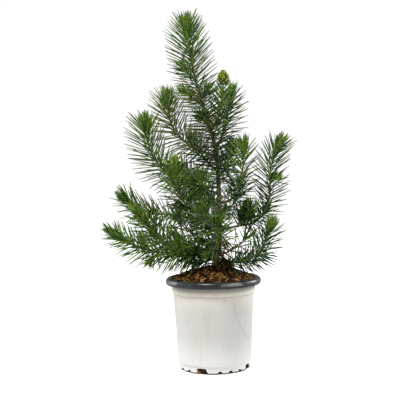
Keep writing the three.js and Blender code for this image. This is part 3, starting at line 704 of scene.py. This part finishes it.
def bark_radius(s, angle, point):
    """The trunk's radius with its flared ribs, long fissures and the scars of fallen needles."""
    base = trunk_radius(s) + 0.45 * math.sin(math.pi * min(s * 1.3, 1))
    low = math.exp(-s * TRUNK_LENGTH / 14)
    ribs = 0.13 * low * math.cos(3 * angle + 0.8) + 0.06 * low * math.cos(5 * angle)
    spot = Vector((math.cos(angle) * base * 0.9, math.sin(angle) * base * 0.9, point.z * 0.16))
    fissures = noise.fractal(spot * 0.9, 0.8, 2.1, 3) * 0.30
    scar_row = point.z / 1.9
    scars = max(0.0, math.cos(8 * angle + scar_row * 2.4)) * max(0.0, math.cos(math.pi * scar_row)) * 0.28
    roughness = 1.0 - 0.75 * s
    return base * (1 + ribs) + (fissures + scars) * roughness


trunk_points = grow_axis(TRUNK_FOOT, TRUNK_LENGTH, [0, 0], TRUNK_CLIMB, TRUNK_STEP)
trunk_points[1].x = trunk_points[0].x


def trunk_at(height):
    """The trunk's point at a height, and how far along the trunk that is, from 0 to 1."""
    upper = next(i for i, point in enumerate(trunk_points) if point.z >= height)
    above, below = trunk_points[upper], trunk_points[upper - 1]
    share = (height - below.z) / (above.z - below.z)
    return below.lerp(above, share), (upper - 1 + share) / (len(trunk_points) - 1)


BARK_AGES = [
    (0.0, (0.230, 0.110, 0.040)), (0.12, (0.118, 0.082, 0.034)), (0.30, (0.100, 0.096, 0.044)),
    (0.60, (0.150, 0.160, 0.062)), (1.0, (0.24, 0.28, 0.070)),
]
FLAKED = (0.16, 0.14, 0.10)
look = Look("young_bark", BARK_AGES[1][1], 0.88, 0.2)
flakes = look.noise(380.0, 5.0)
colour = look.tones(look.kept("age"), BARK_AGES)
colour = look.grained(colour, flakes, 0.35, 0.65, (0.45, 0.42, 0.40), (1.35, 1.25, 1.15))
colour = look.mix(look.band(look.noise(90.0, 3.0), 0.56, 0.70, 0.0, 0.4), colour, FLAKED)
bark = look.complete(colour, flakes, 0.7, 0.0006)

trunk_limb = Limbs()
trunk_frames = frames_along(trunk_points, 0.0, 1.0, 330)
trunk_limb.add(trunk_frames, 32, bark_radius, lambda s: s)
trunk = trunk_limb.build("trunk_bark", bark)
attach(trunk, "root")
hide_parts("trunk")

# Boughs: each shoot leaves the trunk as a bare brown limb and runs on inside its needles as a
# greener stem, with short side twigs. They are grown by one rule from the sizes listed here.

BOUGH_RADIUS, BOUGH_TIP_RADIUS = 1.9, 1.45
STEM_TIP_RADIUS = 0.95
TWIG_RADIUS, TWIG_TIP_RADIUS = 0.95, 0.7
TWIG_CURVE = 14
BOUGH_STEP, TWIG_STEP = 6.5, 2.7
TUFT = 20.0
LEADER_TIP, LEADER_TIP_CLIMB, LEADER_TIP_STEP = 22, [98, 92], 2.2
# Name, height on the trunk, length, bearings, climbs, bare share, fullness, tints of the tip, body
# and foot, then any side twigs, each as (share of the length, bearing, climb, length, tint).
SHOOTS = [
    ("crown_bud", 348, 90, [330, 285], [50, 75, 76], 0.16, 1.0, "green", "green", "deep"),
    ("right_upper", 320, 105, [35, 55], [55, 75, 65], 0.15, 1.0, "green", "deep", "blue"),
    ("left_upper", 311, 139, [180, 162], [16, 33, 76, 100], 0.17, 1.25, "fresh", "olive", "olive"),
    ("left_middle", 266, 176, [185, 200], [-5, 25, 66, 99], 0.18, 1.15, "fresh", "green", "deep",
     (0.42, 110, 40, 16, "deep")),
    ("front_left", 216, 138, [200, 265], [5, 45, 65], 0.18, 1.15, "fresh", "dull", "dull",
     (0.5, 345, 35, 22, "green"), (0.72, 120, 50, 16, "dull"),
     (0.35, 200, 20, 18, "dull"), (0.93, 225, 80, 9, "new")),
    ("front_middle", 239, 102, [235, 270], [20, 35, 38], 0.18, 0.55, "dull", "deep", "deep"),
    ("left_lower", 200, 168, [195, 200], [40, 10, 10, 72], 0.14, 0.9, "green", "green", "deep",
     (0.62, 262, -6, 14, "green")),
    ("front_low_left", 160, 164, [206, 214], [6, 20, 48, 52], 0.17, 1.15, "fresh", "green", "dull",
     (0.55, 150, 30, 20, "green"), (0.4, 290, 30, 18, "green"), (0.2, 255, 12, 18, "deep")),
    ("left_bottom", 157, 178, [176, 170], [20, 1, 21, 44], 0.14, 1.25, "green", "green", "blue",
     (0.5, 195, -58, 12, "fresh"), (0.6, 110, 22, 22, "deep"), (0.32, 220, 25, 18, "deep"),
     (0.12, 262, 15, 18, "deep"), (0.06, 215, -22, 17, "deep"), (0.22, 240, 5, 20, "deep")),
    ("centre_left", 257, 92, [165, 155], [10, 35, 66], 0.18, 1.2, "green", "deep", "blue"),
    ("left_inner", 172, 96, [155, 140], [5, 20, 40], 0.18, 0.3, "green", "dull", "blue"),
    ("front_low", 173, 93, [272, 268], [40, 35, 35], 0.2, 0.8, "green", "dull", "dull",
     (0.45, 200, 35, 16, "dull"), (0.16, 185, 5, 22, "dull"), (0.10, 235, -22, 24, "dull"),
     (0.10, 205, -22, 22, "deep")),
    ("front_centre", 196, 103, [240, 272], [25, 30, 36], 0.2, 0.5, "green", "dull", "dull",
     (0.5, 190, 40, 18, "green")),
    ("right_middle", 202, 191, [355, 345], [18, 6, 64, 92, 74, 36], 0.17, 1.0, "fresh", "deep", "deep",
     (0.25, 250, 68, 22, "green"), (0.62, 340, 26, 8, "fresh"), (0.16, 350, 40, 18, "deep"),
     (0.14, 320, 58, 20, "deep"), (0.2, 292, 60, 22, "deep"), (0.33, 20, 45, 14, "deep")),
    ("right_inner", 243, 118, [350, 250], [0, 65, 80, 68], 0.18, 0.75, "fresh", "green", "deep",
     (0.16, 290, 30, 18, "blue")),
    ("right_bottom", 154, 125, [350, 326], [0, 12, 66, 68], 0.17, 1.12, "fresh", "blue", "blue",
     (0.24, 40, 4, 18, "blue"), (0.12, 300, -8, 20, "blue"), (0.46, 350, 4, 18, "blue"),
     (0.3, 10, -8, 20, "blue")),
    ("back_upper_left", 288, 96, [130, 115], [30, 38, 60], 0.17, 0.85, "green", "deep", "blue"),
    ("back_upper_right", 279, 92, [65, 75], [25, 38, 62], 0.17, 1.0, "green", "deep", "blue"),
    ("back_middle_left", 232, 116, [125, 105], [15, 25, 60], 0.17, 0.55, "fresh", "green", "blue"),
    ("back_middle_right", 223, 110, [55, 80], [15, 30, 60], 0.17, 0.65, "fresh", "deep", "blue"),
    ("back_bottom_left", 179, 126, [135, 120], [15, 15, 54], 0.17, 0.42, "fresh", "green", "blue",
     (0.5, 75, 25, 20, "green")),
    ("back_bottom_right", 165, 104, [48, 62], [5, 15, 45], 0.17, 0.35, "green", "deep", "blue"),
    ("back_middle", 194, 128, [100, 85], [15, 20, 50], 0.17, 0.42, "fresh", "green", "blue",
     (0.5, 40, 25, 20, "green")),
]
# Side tufts on the leader, as (height, bearing, climb, length, tint).
LEADER_TWIGS = [
    (386, 192, 30, 32, "fresh"), (392, 305, 42, 18, "dull"), (424, 192, 36, 22, "fresh"),
    (352, 215, 40, 22, "green"),
]


def cushioned(radius_a, radius_b):
    """A radius along a young stem, swollen in a spiral where its needles sit."""
    def radius_at(s, angle, point):
        radius = radius_a + (radius_b - radius_a) * s
        swell = 0.10 * math.cos(5 * angle + (point.x + point.y + point.z) * 2.2)
        return radius * (1 + swell) + noise.noise(point * 0.8) * 0.12
    return radius_at


def grow_twig(root, bearing, climb, length, tint):
    """Grows a side twig and its stem. Gives its axis, length and tint."""
    twig = grow_axis(root, length, [bearing, bearing], [climb, climb + TWIG_CURVE], TWIG_STEP)
    swelling = cushioned(TWIG_RADIUS, TWIG_TIP_RADIUS)
    stems.add(frames_along(twig, 0, 1, 10), 6, swelling, lambda s: 0.8 + 0.2 * s)
    return twig, length, tint


boughs, stems = Limbs(), Limbs()
shoots = []
for name, height, length, bearings, climbs, bare, fullness, tip, body, foot, *twigs in SHOOTS:
    start, share = trunk_at(height)
    axis = grow_axis(start, length, bearings, climbs, BOUGH_STEP)
    end = (length - TUFT) / length
    join = bare + 0.04
    boughs.add(
        frames_along(axis, 0.0, join, max(6, round(length * join / 1.6))), 12,
        cushioned(BOUGH_RADIUS, BOUGH_TIP_RADIUS), lambda s, age=share: 0.2 + 0.3 * age + 0.2 * s,
    )
    stems.add(
        frames_along(axis, bare, end, round(length * (end - bare) / 2)), 8,
        cushioned(BOUGH_TIP_RADIUS, STEM_TIP_RADIUS), lambda s: 0.5 + 0.5 * s,
    )
    sides = [grow_twig(point_at(axis, at)[0], *rest) for at, *rest in twigs]
    shoots.append((name, axis, length, bare, end, (tip, body, foot), sides, fullness))
leader_sides = [grow_twig(trunk_at(height)[0], *rest) for height, *rest in LEADER_TWIGS]
tip_start = trunk_points[-1] + (trunk_points[-1] - trunk_points[-2]).normalized() * 0.2
leader_tip = grow_axis(tip_start, LEADER_TIP, [0, 0], LEADER_TIP_CLIMB, LEADER_TIP_STEP)
stems.add(frames_along(leader_tip, 0, 1, 12), 8, cushioned(TRUNK_TIP_RADIUS, 0.9), lambda s: 1.0)

bough_bark = boughs.build("bough_bark", bark)
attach(bough_bark, "root")
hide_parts(*[f"bough_{shoot[0]}" for shoot in shoots])

STEM_GREEN = (0.22, 0.24, 0.06)
OLD_STEM = (0.090, 0.085, 0.035)
look = Look("young_stem", STEM_GREEN, 0.6, 0.2)
grain = look.noise(500.0, 3.0)
colour = look.mix(look.band(look.kept("age"), 0.5, 0.85), OLD_STEM, STEM_GREEN)
colour = look.grained(colour, grain, 0.3, 0.7, (0.7, 0.7, 0.65), (1.2, 1.2, 1.15))
green_stems = stems.build("green_stems", look.complete(colour, grain, 0.4, 0.0003))
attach(green_stems, "root")

# Needles: the single, flat, waxy needles of a seedling pine. They stand in a spiral all round each
# stem, spread wide on old wood and drawn together like a paintbrush round each growing tip.

NEEDLE_LENGTH = 35.0
NEEDLE_WIDTH = 1.95
NEEDLE_THICKNESS = 1.45
NEEDLE_PITCH = 0.86
TUFT_NEEDLE = 27.5
RIM_REACH, RIM_HEIGHT = 71.5, 136
GOLDEN = 137.508
NEEDLE_LEAN = [76, 68, 59, 50, 40]
NEEDLE_REACH = [0.84, 1, 1.02, 0.98, 0.84]
BUD_SHOOT_REACH = [0.84, 0.9, 0.8, 0.5]
TWIG_LEAN, TWIG_REACH = [58, 46, 36], [0.6, 0.72, 0.7]
LEADER_TWIG_LEAN, LEADER_TWIG_REACH = [50, 40, 30], [0.5, 0.6, 0.6]
LEADER_TIP_LEAN, LEADER_TIP_REACH = [46, 38, 30], [1.14, 1.08, 0.98]
# Tints, as (colour, brighter neighbour, darker neighbour).
TINTS = {
    "new": ((0.230, 0.335, 0.072), "new", "fresh"),
    "fresh": ((0.152, 0.248, 0.026), "new", "green"),
    "green": ((0.098, 0.192, 0.030), "fresh", "deep"),
    "deep": ((0.054, 0.122, 0.036), "green", "shade"),
    "blue": ((0.064, 0.126, 0.070), "green", "shade"),
    "shade": ((0.015, 0.042, 0.010), "deep", "shade"),
    "dull": ((0.158, 0.230, 0.104), "fresh", "deep"),
    "olive": ((0.150, 0.164, 0.036), "dull", "deep"),
    "dead": ((0.200, 0.100, 0.036), "dead", "shade"),
}

# One needle is bent and tapered along its own length after it is set in place.
set_needles = tree = Group("set_needles", "GeometryNodeTree", [
    GEOMETRY, ("Width", "Float", NEEDLE_WIDTH * MM), ("Thickness", "Float", NEEDLE_THICKNESS * MM),
    ("Segments", "Int", 3), ("Material", "Material"),
], [GEOMETRY])
line = tree.add("GeometryNodeCurvePrimitiveLine", Start=(0, 0, 0), End=(0, 0, 1))
line = tree.add("GeometryNodeResampleCurve", Curve=line, Count=tree.maths("ADD", tree.given["Segments"], 1))
along = tree.add("GeometryNodeSplineParameter").outputs["Factor"]
taper = tree.add("ShaderNodeFloatCurve", Value=along)
points = taper.mapping.curves[0].points
points[0].location = (0.0, 0.75)
points[1].location = (1.0, 0.4)
points.new(0.35, 1.0)
points.new(0.85, 0.92)
taper.mapping.update()
marked = tree.add("GeometryNodeStoreNamedAttribute", Geometry=line, Name="along", Value=along)
ring = tree.add("GeometryNodeCurvePrimitiveCircle", Resolution=4, Radius=0.5)
flat = tree.add("ShaderNodeCombineXYZ", X=tree.given["Width"], Y=tree.given["Thickness"], Z=1.0)
ring = tree.add("GeometryNodeTransform", Geometry=ring, Scale=flat)
needle = tree.add("GeometryNodeCurveToMesh", Curve=marked, Profile_Curve=ring, Scale=taper, Fill_Caps=True)
turn, bend, reach, share = (
    tree.add("GeometryNodeInputNamedAttribute", {"data_type": kind}, Name=name) for kind, name in (
        ("FLOAT_VECTOR", "turn"), ("FLOAT_VECTOR", "bend"), ("FLOAT", "reach"), ("FLOAT", "along"),
    )
)
needles = tree.add(
    "GeometryNodeInstanceOnPoints", Points=tree.given["Geometry"], Instance=needle,
    Rotation=tree.add("FunctionNodeEulerToRotation", Euler=turn),
    Scale=tree.add("ShaderNodeCombineXYZ", X=1.0, Y=1.0, Z=reach),
)
needles = tree.add("GeometryNodeRealizeInstances", Geometry=needles)
bent = tree.scaled(bend, tree.times(share, share))
needles = tree.add("GeometryNodeSetPosition", Geometry=needles, Offset=bent)
needles = tree.add("GeometryNodeSetMaterial", Geometry=needles, Material=tree.given["Material"])
needles = tree.add("GeometryNodeSetShadeSmooth", Geometry=needles)
tree.plug(needles, tree.result["Geometry"])


def needle_root(root, direction, flat_side, length, bend):
    """A needle's root, turn, reach and bend, from its direction and the way its flat side faces."""
    across = (flat_side - direction * flat_side.dot(direction)).normalized()
    turn = Matrix((across, direction.cross(across), direction)).transposed().to_euler()
    return root * MM, turn, length * MM, bend * MM


def in_pot(point):
    """Whether a point comes too near the soil or the pot's rim."""
    radius = math.hypot(point.x, point.y)
    if radius < soil_radius:
        return point.z < soil_height(radius) + 2
    return radius < RIM_REACH and point.z < RIM_HEIGHT


roots = {tint: [] for tint in TINTS}


def set_one(frame, angle, lean, length, surface, tint, rng, curl, sag):
    """Sets one needle on a stem, shorter or not at all where it would reach into the soil or the pot."""
    point, along, across, beside = frame
    outward = across * math.cos(angle) + beside * math.sin(angle)
    tilt = math.radians(lean)
    direction = along * math.cos(tilt) + outward * math.sin(tilt)
    root = point + outward * surface * 0.75
    flat_side = across + beside * rng.uniform(-2, 2)
    for share in (1, 0.8, 0.62):
        size = length * share
        bend = along * (curl * size) + Vector((0, 0, -sag * size))
        tip, middle = root + direction * size + bend, root + direction * size * 0.5 + bend * 0.25
        if not in_pot(tip) and not in_pot(middle):
            roots[tint].append(needle_root(root, direction, flat_side, size, bend))
            return


# How the needles of a shoot stand, as (their share of the usual length on its inner part and near its
# tip, how deep the tuft at the tip roots, the tuft's spread).
USUAL_STAND = (1, 1, 12, 24)
STANDS = {
    "right_upper": (1, 1, 20, 20), "left_upper": (1, 1.12, 14, 31), "left_middle": (1, 1.22, 14, 32),
    "left_lower": (0.5, 1, 24, 19), "front_low_left": (1, 1, 26, 18), "left_bottom": (1, 1, 26, 18),
    "right_middle": (0.76, 1.08, 14, 30), "right_inner": (0.86, 1, 14, 22),
    "right_bottom": (0.85, 1, 12, 24), "back_bottom_right": (0.8, 1, 12, 24),
}


def varied(tint, rng):
    """Now and then a tint's brighter or darker neighbour, so that single needles stand out."""
    chance = rng.random()
    _, brighter, darker = TINTS[tint]
    return brighter if chance < 0.32 else darker if chance > 0.67 else tint


def dress(
    points, length, first, last, surface_at, tint_at, rng, lean, reach,
    pitch=NEEDLE_PITCH, curl=0.03, sag=0.01,
):
    """Needles in a spiral along a stretch of stem."""
    count = max(2, round((last - first) * length / pitch))
    for i, frame in enumerate(frames_along(points, first, last, count)):
        s = i / count
        angle = math.radians(i * GOLDEN + rng.uniform(-7, 7))
        tilt = eased(lean, s) + rng.uniform(-4, 4)
        size = NEEDLE_LENGTH * eased(reach, s) * rng.uniform(0.9, 1.06)
        tint = varied(tint_at(s), rng)
        own_curl, own_sag = curl * rng.uniform(-0.6, 1.6), sag * rng.uniform(0, 2)
        set_one(frame, angle, tilt, size, surface_at(s), tint, rng, own_curl, own_sag)


def brush(points, length, last, depth, surface, tint, rng, count, size, spread):
    """The close tuft of needles round a growing tip, brighter at its heart."""
    _, brighter, darker = TINTS[tint]
    for i, frame in enumerate(frames_along(points, last - depth / length, last, count)):
        angle = math.radians(i * GOLDEN + rng.uniform(-20, 20))
        share = math.sqrt(rng.random())
        reach = size * (1.04 - 0.12 * share) * rng.uniform(0.86, 1.06)
        if share < 0.75:
            chance = rng.random()
            shade = brighter if chance < 0.6 else darker if chance > 0.9 else tint
        else:
            shade = varied(darker, rng)
        set_one(frame, angle, spread * share, reach, surface, shade, rng, rng.uniform(-0.03, 0.03), 0)


def dealt(tints, rng):
    """Deals a shoot's tints out by spray, a short run of stem at a time."""
    tip, body, foot = tints
    shifts = [rng.uniform(-0.12, 0.12) for _ in range(24)]

    def tint_at(s):
        value = s + shifts[min(int(s * 12), 23)]
        if value > 0.93:
            return tip
        return body if value > 0.4 else foot

    return tint_at


def dress_twig(twig, length, tint, rng, first, lean, reach):
    dress(twig, length, first, 0.85, lambda s: 0.8, lambda s: tint, rng, lean, reach, pitch=0.8)


for index, (name, axis, length, bare, end, tints, sides, fullness) in enumerate(shoots):
    rng = random.Random(SEED + index * 977)
    tint_at = dealt(tints, rng)
    has_bud = name == "crown_bud"
    inner, outer, depth, spread = STANDS.get(name, USUAL_STAND)
    factors = [inner, inner, (inner + outer) / 2, outer, outer]
    reach = [share * factor for share, factor in zip(NEEDLE_REACH, factors)]
    dress(
        axis, length, bare, end - (6 if has_bud else 4) / length,
        lambda s: BOUGH_TIP_RADIUS + (STEM_TIP_RADIUS - BOUGH_TIP_RADIUS) * s,
        tint_at, rng, NEEDLE_LEAN, BUD_SHOOT_REACH if has_bud else reach, NEEDLE_PITCH / fullness,
    )
    if not has_bud:
        count = round((36 + 1.9 * depth) * fullness)
        brush(axis, length, end, depth, 0.9, tints[0], rng, count, TUFT_NEEDLE, spread)
    for twig, twig_length, tint in sides:
        dress_twig(twig, twig_length, tint, rng, 0.1, TWIG_LEAN, TWIG_REACH)
        # The blue twigs sit deep in the shade and end without a tuft.
        if tint != "blue":
            count, size = round(12 + 0.6 * twig_length), 13 + 0.35 * twig_length
            brush(twig, twig_length, 1.0, twig_length / 2, 0.7, tint, rng, count, size, 24)

# Needles on the leader, as (lowest and highest height, lean, reach, lower and upper tint, pitch), then
# the dead brown ones that still hang round the trunk's foot, with their curl and sag.
LEADER = [
    (270, 300, [84, 80], [0.72, 0.95], ("shade", "shade"), 0.66),
    (300, 352, [80, 74], [1.0, 1.04], ("shade", "olive"), 0.56),
    (352, 402, [76, 72], [1.07, 1.04], ("olive", "olive"), 0.54),
    (402, 444, [72, 60], [1.04, 1.18], ("olive", "olive"), 0.64),
    (444, 473.5, [56, 46], [1.22, 1.2], ("olive", "green"), 0.56),
]
DEAD_NEEDLES = (153, 196, [92, 124], [0.55, 0.7], ("dead", "dead"), 0.6, 0.03, 0.12)
rng = random.Random(SEED + 501)


def dress_trunk(low, high, lean, reach, tints, pitch, curl=0.02, sag=0.01):
    first, last = trunk_at(low)[1], trunk_at(high)[1]
    dress(
        trunk_points, TRUNK_LENGTH, first, last, lambda s: trunk_radius(first + (last - first) * s),
        lambda s: tints[0] if s < 0.5 else tints[1], rng, lean, reach, pitch, curl, sag,
    )


for row in LEADER:
    dress_trunk(*row)
dress(
    leader_tip, LEADER_TIP, 0, 0.9, lambda s: 1.1, lambda s: "green", rng,
    LEADER_TIP_LEAN, LEADER_TIP_REACH, pitch=0.42,
)
brush(leader_tip, LEADER_TIP, 1.0, 16, 1.0, "fresh", rng, 92, 29.5, 21)
dress_trunk(*DEAD_NEEDLES)
for twig, twig_length, tint in leader_sides:
    dress_twig(twig, twig_length, tint, rng, 0.15, LEADER_TWIG_LEAN, LEADER_TWIG_REACH)
    brush(twig, twig_length, 1.0, 6, 0.7, tint, rng, 22, 17, 30)


def root_points(made):
    """A mesh of bare points that carries each needle's turn, reach and bend."""
    data = bpy.data.meshes.new("needle_roots")
    data.from_pydata([row[0] for row in made], [], [])
    for name, kind, key, values in (
        ("turn", "FLOAT_VECTOR", "vector", [value for row in made for value in row[1]]),
        ("reach", "FLOAT", "value", [row[2] for row in made]),
        ("bend", "FLOAT_VECTOR", "vector", [value for row in made for value in row[3]]),
    ):
        data.attributes.new(name, kind, "POINT").data.foreach_set(key, values)
    return data


masses = sorted(name for name in frame["nodes"] if name.startswith("needles_"))
for tint, (colour, _, _) in TINTS.items():
    look = Look(f"needle_{tint}", colour, 0.42, 0.16)
    grain = look.noise(300.0, 2.0)
    dark, light = (tuple(channel * factor for channel in colour) for factor in (0.56, 1.52))
    shaded = look.mix(look.band(grain, 0.36, 0.64), dark, light)
    foot_tone = (colour[0] * 1.5, colour[1] * 1.2, colour[2])
    shaded = look.mix(look.band(look.kept("along"), 0.15, 0.0, 0.0, 0.4), shaded, foot_tone)
    needle_skin = look.complete(shaded, roughness=look.band(grain, 0.3, 0.7, 0.36, 0.5))
    spray = place(f"sprays_{tint}", root_points(roots[tint]))
    run_tree(spray, set_needles, material=needle_skin)
    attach(spray, "root")
    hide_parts(*masses)

# Bud: a swelling bud on the shoot beside the leader, a round head of short lime needles that
# curve in over each other.

BUD_RADIUS = 8.8
BUD_STRETCH = 1.28
BUD_LEAVES = 74
BUD_LEAF_WIDTH, BUD_LEAF_THICKNESS = 2.3, 0.9
core_radius = BUD_RADIUS * 0.8
bud_axis = next(shoot for shoot in shoots if shoot[0] == "crown_bud")
bud_foot = point_at(bud_axis[1], bud_axis[4])[0]
bud_centre = bud_foot + Vector((0, 0, BUD_RADIUS * 1.12))
core_profile = [
    (core_radius * math.sin(turn), -core_radius * BUD_STRETCH * math.cos(turn))
    for turn in (math.pi * i / 12 for i in range(13))
]
core_profile[0], core_profile[-1] = (0, core_profile[0][1]), (0, core_profile[-1][1])
bud_core = lathe("bud_core", core_profile, 24)
for vertex in bud_core.data.vertices:
    vertex.co += bud_centre * MM
soften(bud_core, 60)

rng = random.Random(SEED + 31)
bud_leaves = []
for i in range(BUD_LEAVES):
    s = (i + 0.5) / BUD_LEAVES
    polar = math.radians(160 - 148 * s**0.85 + rng.uniform(-4, 4))
    angle = math.radians(i * GOLDEN + rng.uniform(-9, 9))
    level = math.sin(polar)
    outward = Vector((level * math.cos(angle), level * math.sin(angle), math.cos(polar)))
    side = Vector((-math.sin(angle), math.cos(angle), 0))
    upward = side.cross(outward).normalized()
    upward = -upward if upward.z < 0 else upward
    root = Vector((outward.x, outward.y, outward.z * BUD_STRETCH)) * core_radius
    length = rng.uniform(10.5, 13.0) * (1 - 0.45 * s)
    direction = (upward + outward * rng.uniform(0.45, 0.7) + side * rng.uniform(-0.12, 0.12)).normalized()
    inward = (outward * 0.28 + Vector((outward.x, outward.y, 0)) * 0.40) * -length
    bud_leaves.append(needle_root(bud_centre + root, direction, side, length, inward))
bud = place("bud_leaves", root_points(bud_leaves))
BUD_LIME, BUD_GREEN, BUD_SHADE = (0.27, 0.345, 0.030), (0.15, 0.225, 0.020), (0.030, 0.060, 0.010)
look = Look("bud_lime", BUD_LIME, 0.42, 0.15)
shaded = look.mix(look.band(look.noise(420.0, 3.0), 0.38, 0.62), BUD_GREEN, BUD_LIME)
shaded = look.mix(look.band(look.kept("along"), 0.45, 0.05, 0.0, 0.9), shaded, BUD_SHADE)
bud_skin = look.complete(shaded)
run_tree(
    bud, set_needles, width=BUD_LEAF_WIDTH * MM, thickness=BUD_LEAF_THICKNESS * MM, segments=6,
    material=bud_skin,
)

# The bud's core is painted near-black green as shade in the gaps between its leaves.
look = Look("bud_heart", (0.030, 0.055, 0.010), 0.7)
shaded = look.mix(look.band(look.noise(420.0, 3.0), 0.38, 0.62), (0.020, 0.040, 0.008), (0.06, 0.10, 0.014))
bud_core.data.materials.append(look.complete(shaded))
for piece in (bud, bud_core):
    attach(piece, "root")
    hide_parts("needles_crown_bud")

# Studio: a plain white floor that fades into a white surround, soft light from above on the left,
# and the camera where the photo was taken from.

floor_mesh = bmesh.new()
bmesh.ops.create_circle(floor_mesh, cap_ends=True, segments=64, radius=6.0)
floor = place("floor", floor_mesh)
look = Look("floor_white", (0.70, 0.70, 0.70), 0.9)
seen = look.add("ShaderNodeLightPath").outputs["Is Camera Ray"]
look.plug(look.mix(seen, (0, 0, 0), (0.88, 0.88, 0.88)), look.shader.inputs["Emission Color"])
look.shader.inputs["Emission Strength"].default_value = 1.0
floor.data.materials.append(look.material)

world = bpy.data.worlds.new("surround")
bpy.context.scene.world = world
world.use_nodes = True
tree = Tree(world.node_tree)
seen = tree.add("ShaderNodeLightPath").outputs["Is Camera Ray"]
surround = tree.mix(seen, (0.33, 0.33, 0.33), (1, 1, 1))
tree.plug(surround, world.node_tree.nodes["Background"].inputs["Color"])
bpy.context.scene.view_settings.view_transform = "Standard"

LIT_MIDDLE = Vector((0, 0, 0.2))


def soft_light(name, spot, size, watts):
    """A round soft light that faces the middle of the plant."""
    light = bpy.data.lights.new(name, "AREA")
    light.shape = "DISK"
    light.size = size
    light.energy = watts
    lamp = place(name, light)
    lamp.location = spot
    lamp.rotation_euler = (LIT_MIDDLE - Vector(spot)).to_track_quat("-Z", "Y").to_euler()


soft_light("key_light", (-0.6, -1.2, 2.3), 0.5, 56)
soft_light("left_light", (-1.9, 0.8, 0.9), 1.0, 20)
soft_light("right_light", (1.9, 0.8, 0.9), 1.0, 33)

CAMERA_PLACE = (-6.1, -1260, 300)
CAMERA_PITCH = 2.93
CAMERA_ROLL = -1.0
PHOTO_WIDTH = 416
FOCAL_PIXELS = 860
SENSOR = 36
lens = bpy.data.cameras.new("camera")
lens.sensor_width = SENSOR
lens.lens = SENSOR * FOCAL_PIXELS / PHOTO_WIDTH
camera = place("camera", lens)
camera.matrix_world = (
    Matrix.Translation(Vector(CAMERA_PLACE) * MM)
    @ Matrix.Rotation(math.radians(90 - CAMERA_PITCH), 4, "X")
    @ Matrix.Rotation(math.radians(CAMERA_ROLL), 4, "Z")
)
bpy.context.scene.camera = camera
